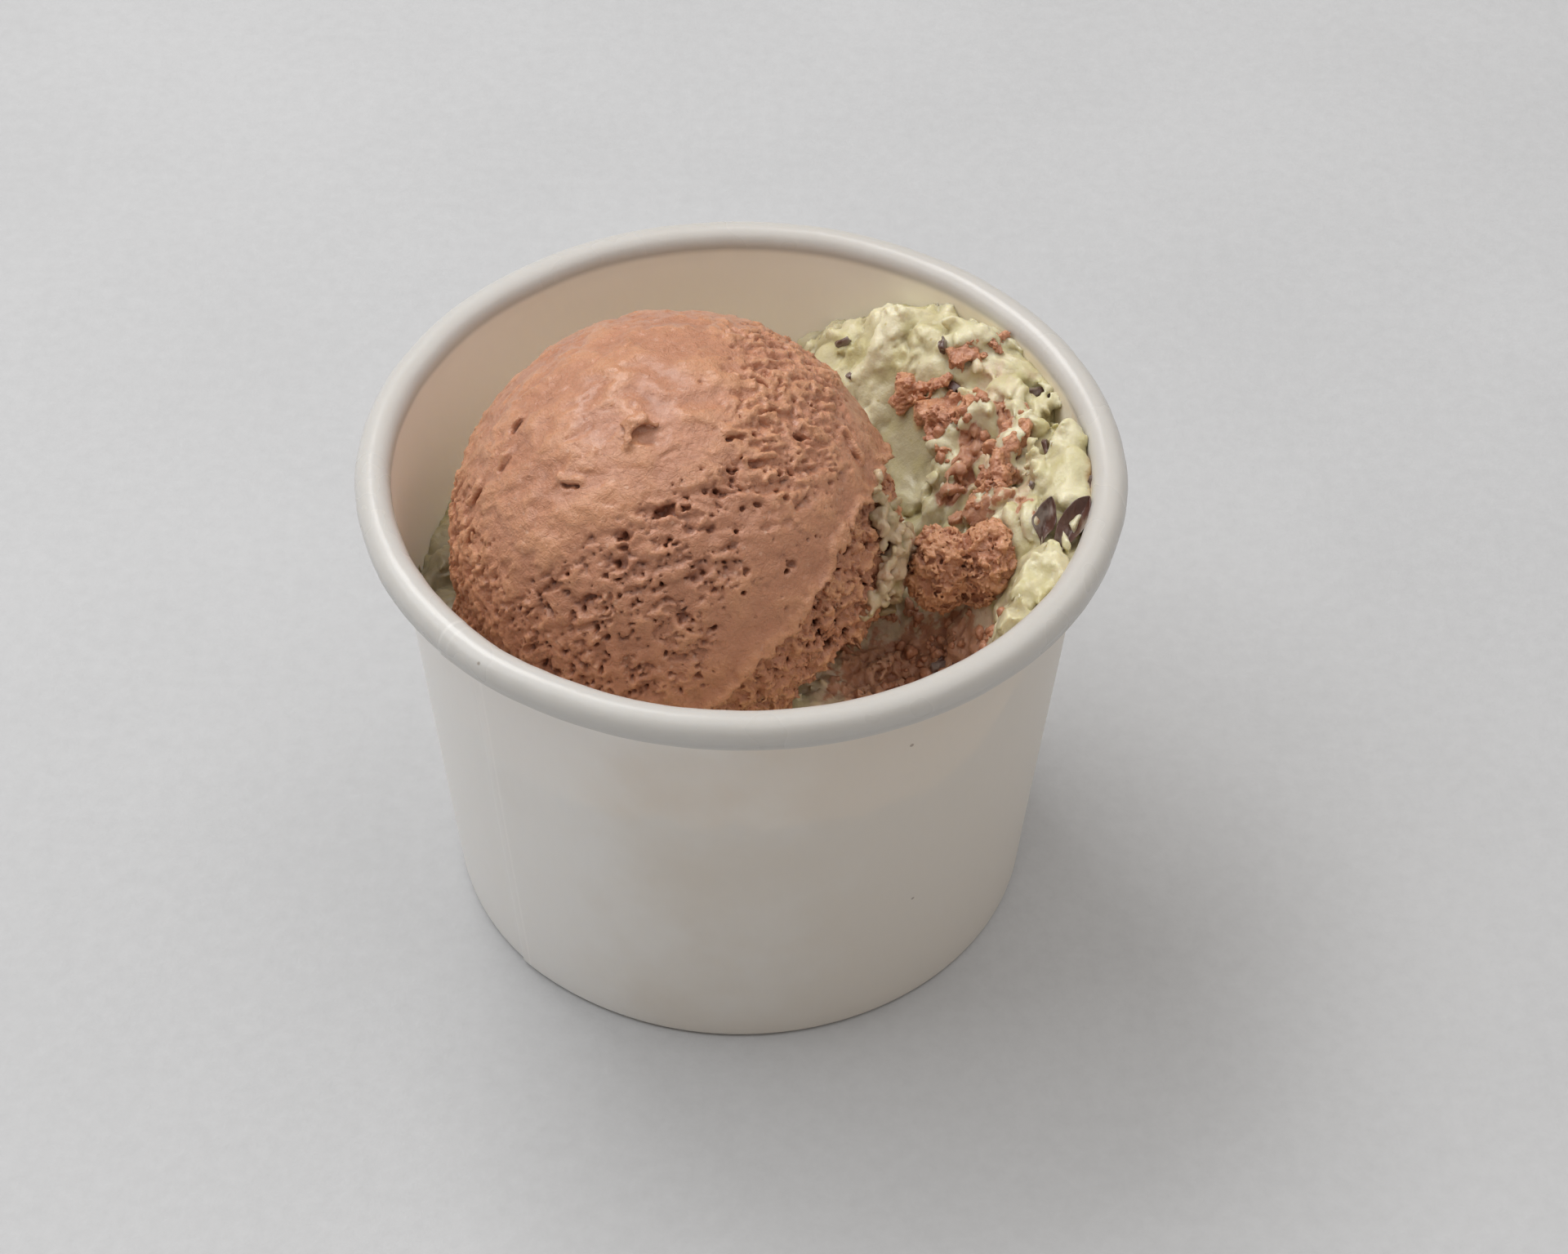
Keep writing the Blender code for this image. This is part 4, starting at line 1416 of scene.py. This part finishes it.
# Lobes that the lump is made of: centre from its own, and half sizes in mm
LUMP_LOBES = [
    ((-2.9, 0.0, -0.2), (3.6, 4.2, 5.2)),
    ((2.6, 0.3, 0.2), (3.8, 4.4, 5.4)),
    ((-2.6, -0.4, 2.2), (3.2, 3.4, 3.0)),
    ((2.4, 0.0, 2.4), (3.4, 3.4, 3.0)),
]


def lump_depth(sheet, place):
    """Depth below the lump's lobes, without relief."""
    depth = ellipsoid(place, LUMP_CENTRE + Vector(LUMP_LOBES[0][0]), LUMP_LOBES[0][1])
    for centre, radii in LUMP_LOBES[1:]:
        depth = depth.smooth_most(ellipsoid(place, LUMP_CENTRE + Vector(centre), radii), 0.8)
    return depth


def crumbly(sheet, place, depth, amount):
    """Torn, crumbly relief with small dark holes."""
    lumps = 0.34 - sheet.cells(place + 0.5 * sheet.swirl(place, 1.0), 0.75)
    fine = sheet.noise(place, 0.7, 3.0, 0.68, 0.6)
    flakes = sheet.noise(place, 2.0, 4.0, 0.65, 0.8)
    depth = depth + amount * (0.55 * lumps + 0.85 * fine + 0.7 * flakes.rise(-0.16, 0.12) - 0.35)
    crowd = sheet.noise(place, 2.6, 1.0).rise(-0.25, 0.2)
    for apart, radius in ((1.25, 0.40), (0.7, 0.22)):
        hole = sheet.cells(place + 0.5 * sheet.swirl(place, 0.9) + apart * 7.0, apart)
        opened = (depth - radius * 1.5).most(hole - radius * amount * crowd)
        depth = depth.smooth_least(opened, 0.06)
    return depth


def lump_shape(sheet, place):
    return crumbly(sheet, place, lump_depth(sheet, place) - 0.2, 1.0)


def lump_marks():
    """The lump is torn nearly all over."""
    def hollow(sheet, place):
        return lump_depth(sheet, place) - 0.25

    def torn(sheet, place):
        return sheet.noise(place, 3.0) * 0.1 + 0.9
    return {"hollow": hollow, "torn": torn}


class GELATO_OT_lump(bpy.types.Operator):
    """Carve the crumbly torn lump beside the scoop"""

    bl_idname = "gelato.lump"
    bl_label = "Chocolate Lump"

    def execute(self, context):
        low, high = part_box("chocolate_lump")
        box = (low / MM - LUMP_MARGIN, high / MM + LUMP_MARGIN)
        seed = LUMP_CENTRE + Vector((2.6, 0.0, 8.0))
        body = carve("torn_lump", lump_shape, box, LUMP_GRID, seed, LUMP_TRIANGLES, lump_marks())
        body.data.materials.append(shared_material("gelato_chocolate"))
        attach(body, "root")
        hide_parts("chocolate_lump")
        return {'FINISHED'}


# The folds that each patch is made of: start, end and radius in mm
PATCHES = [
    [((24.9, 19.5, 55.4), (26.6, 20.4, 56.0), 1.15), ((26.6, 20.4, 56.0), (28.9, 21.4, 56.6), 1.3)],
    [((18.6, 20.9, 49.4), (20.8, 19.8, 51.2), 1.4), ((20.8, 19.8, 51.2), (23.1, 18.2, 52.9), 1.0)],
    [
        ((21.9, 17.0, 50.4), (23.6, 14.2, 50.2), 1.7),
        ((22.4, 16.4, 51.0), (25.7, 15.2, 53.5), 1.2),
        ((23.6, 14.2, 50.0), (23.0, 12.6, 48.8), 1.0),
    ],
    [((30.2, 8.4, 54.3), (28.4, 4.4, 52.0), 1.6), ((28.4, 4.8, 52.0), (27.2, 1.6, 49.6), 1.6)],
]
PATCH_GRID = 0.16
PATCH_TRIANGLES = 30000
# Room round the ends of the folds for their radius and their uneven course, in mm
PATCH_MARGIN = 2.8


def patch_forms(folds):
    """The shape and the marks of a patch made of these folds."""
    def depth(sheet, place):
        return fold_depth(sheet, place, folds, 2.6)

    def shape(sheet, place):
        return crumbly(sheet, place, depth(sheet, place), 0.75)

    def torn(sheet, place):
        return 0.6 + 0.3 * sheet.noise(place, 2.0)
    return shape, {"hollow": depth, "torn": torn}


class GELATO_OT_patches(bpy.types.Operator):
    """Carve the crumbly chocolate patches worked into the bank"""

    bl_idname = "gelato.patches"
    bl_label = "Chocolate Patches"

    def execute(self, context):
        for number, folds in enumerate(PATCHES, start=1):
            shape, marks = patch_forms(folds)
            ends = [Vector(end) for fold in folds for end in fold[:2]]
            low = [min(end[axis] for end in ends) - PATCH_MARGIN for axis in range(3)]
            high = [max(end[axis] for end in ends) + PATCH_MARGIN for axis in range(3)]
            name = f"chocolate_dab_{number}"
            body = carve(name, shape, (low, high), PATCH_GRID, ends[0], PATCH_TRIANGLES, marks)
            body.data.materials.append(shared_material("gelato_chocolate"))
            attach(body, "root")
            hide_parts(f"chocolate_patch_{number}")
        return {'FINISHED'}


# ---------------------------------------------------------------- crumbs and nut bits

CRUMB_SEED = 7
# Height that crumbs are dropped from in mm
CRUMB_DROP = 70.0
# Where crumbs lie: centre and spread on plan in mm, and how many
CRUMB_FIELDS = [
    ((21.0, -10.5), 4.6, 60),
    ((26.5, -15.5), 2.6, 22),
    ((18.0, -4.0), 2.6, 14),
    ((25.5, 14.0), 4.0, 22),
    ((28.0, 4.0), 3.0, 16),
]
# Chips of nut: place, length, width and thickness in mm
NUT_CHIPS = [
    ((23.0, 21.7, 56.2), (2.6, 1.5, 0.7)),
    ((24.1, 17.8, 53.4), (1.3, 1.0, 0.6)),
    ((33.3, 15.3, 55.0), (1.9, 1.1, 0.8)),
    ((34.3, 14.7, 54.6), (1.5, 1.2, 0.6)),
    ((32.4, 14.0, 54.9), (1.4, 0.9, 0.6)),
    ((11.8, 29.4, 50.2), (1.9, 0.9, 0.6)),
    ((12.9, 25.2, 48.4), (1.4, 1.0, 0.7)),
    ((31.3, 10.0, 55.0), (0.9, 0.7, 0.5)),
    ((33.7, 4.2, 55.9), (2.3, 1.5, 0.5)),
    ((31.8, -0.6, 55.0), (0.8, 0.6, 0.4)),
    ((22.0, -11.2, 37.6), (2.0, 1.3, 0.8)),
    ((23.6, -13.6, 39.6), (1.3, 0.9, 0.6)),
]


def join_copies(name, copies):
    """Joins the copies into one piece under its name, with its place in its mesh."""
    deselect_all()
    for body in copies:
        body.select_set(True)
    bpy.context.view_layer.objects.active = copies[0]
    bpy.ops.object.join()
    body = named_start(name)
    bpy.ops.object.transform_apply(location=True, rotation=True, scale=True)
    return body


def spread_copies(shape, places, random_source):
    """Copies of shape, each with its own mesh, turned at random: places holds (place, scale)."""
    copies = []
    for place, scale in places:
        body = shape.copy()
        body.data = shape.data.copy()
        body.location = Vector(place) * MM
        body.rotation_euler = [random_source.uniform(-math.pi, math.pi) for _ in range(3)]
        body.scale = scale
        bpy.context.collection.objects.link(body)
        copies.append(body)
    bpy.data.objects.remove(shape)
    return copies


class GELATO_OT_crumbs(bpy.types.Operator):
    """Strew loose chocolate crumbs in the hollow and on the bank"""

    bl_idname = "gelato.crumbs"
    bl_label = "Chocolate Crumbs"

    def execute(self, context):
        random_source = random.Random(CRUMB_SEED)
        deselect_all()
        bpy.ops.mesh.primitive_ico_sphere_add(subdivisions=2, radius=MM)
        crumb = named_start("crumb")
        for vertex in crumb.data.vertices:
            lumps, grain = noise.noise(vertex.co * 1.6 / MM), noise.noise(vertex.co * 4.0 / MM)
            vertex.co *= 1.0 + 0.6 * (0.9 * lumps + 0.5 * grain)
        bpy.ops.object.shade_smooth()
        bed = bpy.data.objects["pistachio_cream"]
        places = []
        for (x, y), spread, count in CRUMB_FIELDS:
            for _ in range(count):
                drop_x = random_source.gauss(x, 0.5 * spread)
                drop_y = random_source.gauss(y, 0.5 * spread)
                over = Vector((drop_x, drop_y, CRUMB_DROP))
                found, place, _, _ = bed.ray_cast(over * MM, (0.0, 0.0, -1.0))
                size = 0.28 + 0.5 * random_source.random() ** 2
                scale = [size * random_source.uniform(0.75, 1.25) for _ in range(3)]
                if found:
                    places.append((place / MM + Vector((0.0, 0.0, 0.2 * size)), scale))
        body = join_copies("loose_crumbs", spread_copies(crumb, places, random_source))
        body.data.materials.append(shared_material("gelato_chocolate"))
        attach(body, "root")
        return {'FINISHED'}


class GELATO_OT_nut_bits(bpy.types.Operator):
    """Press chips of nut into the cream"""

    bl_idname = "gelato.nut_bits"
    bl_label = "Nut Bits"

    def execute(self, context):
        random_source = random.Random(CRUMB_SEED)
        # The vector noise has a seed of its own.
        noise.seed_set(CRUMB_SEED)
        deselect_all()
        bpy.ops.mesh.primitive_cube_add(size=MM)
        chip = named_start("chip")
        bpy.ops.object.mode_set(mode='EDIT')
        bpy.ops.mesh.subdivide(number_cuts=3)
        bpy.ops.mesh.bevel(offset=0.06 * MM, segments=1)
        bpy.ops.object.mode_set(mode='OBJECT')
        for vertex in chip.data.vertices:
            vertex.co += 0.35 * MM * Vector(noise.noise_vector(vertex.co * 1.3 / MM))
            vertex.co *= 0.8 + 0.125 / max(vertex.co.length / MM, 0.4)
        bpy.ops.object.shade_smooth()
        body = join_copies("nut_bits", spread_copies(chip, NUT_CHIPS, random_source))
        body.data.materials.append(shared_material("nut_skin"))
        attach(body, "root")
        return {'FINISHED'}


# ---------------------------------------------------------------- nut skins

# Centre in mm, long axis, the way the hollow side looks, half length and half width in mm, curl,
# and how thin the tail is: 0 where both ends are alike
SKINS = [
    ((32.9, -6.2, 54.7), (0.26, 0.66, 0.70), (-0.25, -0.75, 0.62), 2.9, 1.35, 0.55, 0.85),
    ((36.0, -7.6, 55.6), (0.50, 0.60, 0.62), (-0.45, -0.45, 0.77), 3.5, 1.55, 0.75, 0.15),
    ((38.0, -2.6, 56.6), (0.10, 0.80, 0.60), (-0.80, -0.30, 0.50), 1.3, 0.6, 0.4, 0.3),
]
SKIN_STEPS = 24
SKIN_ROWS = 10
SKIN_THICKNESS = 0.16 * MM


def curled(along, across, skin, number):
    """Where a point of the flat skin, from -1 to 1 along and across, goes before it is turned."""
    _, _, _, half_length, half_width, curl, tail = skin
    thin = tail * min(max(-0.15 - along, 0.0) / 0.5, 1.0)
    belly = max(1.0 - abs(along) ** (2.2 - 0.9 * tail * (along > 0.0)), 0.0) ** 0.8
    width = half_width * (0.06 + 0.94 * belly * (1.0 - thin))
    ragged = 0.16 * noise.noise(Vector((along * 3.4, across * 0.5, number * 3.0)))
    fold = 0.22 * noise.noise(Vector((along * 2.2, across * 1.8, number * 5.0)))
    lift = curl * (width * across * across + 0.22 * half_length * along * along) - 0.3 * curl
    crease = -0.22 * math.exp(-(across / 0.18) ** 2) * belly
    stretch = 1.0 + 0.45 * tail * max(-along - 0.4, 0.0)
    bend = -0.5 * tail * max(-along - 0.2, 0.0) ** 2 * half_length
    return Vector((
        along * half_length * stretch,
        across * (width + ragged) + bend,
        lift + fold + crease,
    ))


class GELATO_OT_nut_skins(bpy.types.Operator):
    """Build the curled nut skins that stick out by the rim"""

    bl_idname = "gelato.nut_skins"
    bl_label = "Nut Skins"

    def execute(self, context):
        for number, skin in enumerate(SKINS, start=1):
            centre, long_axis, face = skin[:3]
            deselect_all()
            bpy.ops.mesh.primitive_grid_add(x_subdivisions=SKIN_STEPS, y_subdivisions=SKIN_ROWS, size=2.0)
            body = named_start(f"curled_skin_{number}")
            x_axis = Vector(long_axis).normalized()
            y_axis = Vector(face).cross(x_axis).normalized()
            z_axis = x_axis.cross(y_axis)
            turn = Matrix((x_axis, y_axis, z_axis)).transposed()
            for vertex in body.data.vertices:
                flat = curled(vertex.co.x, vertex.co.y, skin, number)
                vertex.co = (Vector(centre) + turn @ flat) * MM
            thicken = body.modifiers.new("thicken", 'SOLIDIFY')
            thicken.thickness = SKIN_THICKNESS
            thicken.offset = 0.0
            smooth = body.modifiers.new("smooth", 'SUBSURF')
            smooth.levels = 2
            smooth.render_levels = 2
            apply_modifiers(body)
            bpy.ops.object.shade_smooth()
            body.data.materials.append(shared_material("nut_skin"))
            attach(body, "root")
            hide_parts(f"nut_skin_{number}")
        return {'FINISHED'}


# ---------------------------------------------------------------- the stage

FLOOR_SIZE = 4.0
FILL_COLOUR = (1.0, 0.94, 0.875, 1.0)
CAMERA_PLACE = Vector((0.0, -0.28389, 0.31098))
CAMERA_FORWARD = Vector((0.0123, 0.71388, -0.70016))
CAMERA_UP = Vector((-0.00344, 0.70024, 0.7139))
LENS = 80.0
SENSOR = 36.0
KEY_PLACE = Vector((-0.70, 0.10, 0.90))
TOP_PLACE = Vector((0.35, 0.04, 1.25))
SHEEN_PLACE = Vector((-0.36, 0.55, 0.95))


def soft_light(name, place, size, power, colour):
    """A square light that faces the cup."""
    bpy.ops.object.light_add(type='AREA', location=place)
    light = bpy.context.active_object
    light.name = name
    light.rotation_euler = place.to_track_quat('Z', 'Y').to_euler()
    light.data.size = size
    light.data.energy = power
    light.data.color = colour


class GELATO_OT_stage(bpy.types.Operator):
    """Set up the pale floor, the soft light and the camera"""

    bl_idname = "gelato.stage"
    bl_label = "Stage"

    def execute(self, context):
        settings = context.scene.gelato_stage
        scene = context.scene
        deselect_all()
        bpy.ops.mesh.primitive_plane_add(size=FLOOR_SIZE)
        floor = named_start("floor")
        floor.data.materials.append(floor_material(settings))

        soft_light("key_light", KEY_PLACE, settings.key_size, settings.key_power, (0.96, 0.98, 1.0))
        soft_light("top_light", TOP_PLACE, settings.top_size, settings.top_power, (1.0, 0.99, 0.98))
        soft_light("sheen_light", SHEEN_PLACE, settings.sheen_size, settings.sheen_power, (1.0, 1.0, 1.0))

        world = bpy.data.worlds.new("studio")
        world.use_nodes = True
        background = world.node_tree.nodes["Background"]
        background.inputs["Color"].default_value = FILL_COLOUR
        background.inputs["Strength"].default_value = settings.fill
        scene.world = world

        right = CAMERA_FORWARD.cross(CAMERA_UP).normalized()
        turn = Matrix((right, CAMERA_UP, -CAMERA_FORWARD)).transposed()
        bpy.ops.object.camera_add(location=CAMERA_PLACE, rotation=turn.to_euler())
        camera = context.active_object
        camera.data.lens = LENS
        camera.data.sensor_width = SENSOR
        camera.data.clip_start = 0.01
        scene.camera = camera
        scene.view_settings.view_transform = 'Standard'
        return {'FINISHED'}


# ---------------------------------------------------------------- panel and registration

MATERIAL_MAKERS = {
    "paper_white": lambda scene: paper_material(scene.gelato_cup),
    "gelato_chocolate": lambda scene: chocolate_material(scene.gelato_filling),
    "gelato_pistachio": lambda scene: pistachio_material(scene.gelato_filling),
    "nut_skin": lambda scene: skin_material(scene.gelato_filling),
}
made_materials = {}


def shared_material(name):
    """The material of that name, made the first time that a piece asks for it."""
    if name not in made_materials:
        made_materials[name] = MATERIAL_MAKERS[name](bpy.context.scene)
    return made_materials[name]


OPERATORS = (
    GELATO_OT_stage,
    GELATO_OT_cup_wall,
    GELATO_OT_cup_base,
    GELATO_OT_scoop,
    GELATO_OT_pistachio,
    GELATO_OT_curds,
    GELATO_OT_lump,
    GELATO_OT_patches,
    GELATO_OT_crumbs,
    GELATO_OT_nut_bits,
    GELATO_OT_nut_skins,
)


class VIEW3D_PT_gelato_cup(bpy.types.Panel):
    """Buttons for each piece, and the sizes and colours that they read"""

    bl_label = "Gelato Cup"
    bl_space_type = 'VIEW_3D'
    bl_region_type = 'UI'
    bl_category = "Gelato"

    def draw(self, context):
        layout = self.layout
        for operator in OPERATORS:
            layout.operator(operator.bl_idname)
        scene = context.scene
        for group in (scene.gelato_cup, scene.gelato_filling, scene.gelato_stage):
            box = layout.box()
            for name in group.bl_rna.properties.keys():
                if name not in {"rna_type", "name"}:
                    box.prop(group, name)


CLASSES = (
    GelatoCupSettings,
    GelatoFillingSettings,
    GelatoStageSettings,
    *OPERATORS,
    VIEW3D_PT_gelato_cup,
)


def register():
    for item in CLASSES:
        bpy.utils.register_class(item)
    bpy.types.Scene.gelato_cup = PointerProperty(type=GelatoCupSettings)
    bpy.types.Scene.gelato_filling = PointerProperty(type=GelatoFillingSettings)
    bpy.types.Scene.gelato_stage = PointerProperty(type=GelatoStageSettings)


def unregister():
    del bpy.types.Scene.gelato_stage
    del bpy.types.Scene.gelato_filling
    del bpy.types.Scene.gelato_cup
    for item in reversed(CLASSES):
        bpy.utils.unregister_class(item)


def main():
    register()
    bpy.ops.gelato.stage()
    bpy.ops.gelato.cup_wall()
    bpy.ops.gelato.cup_base()
    bpy.ops.gelato.scoop()
    bpy.ops.gelato.pistachio()
    bpy.ops.gelato.curds()
    bpy.ops.gelato.lump()
    bpy.ops.gelato.patches()
    bpy.ops.gelato.crumbs()
    bpy.ops.gelato.nut_bits()
    bpy.ops.gelato.nut_skins()


if __name__ == "__main__":
    main()
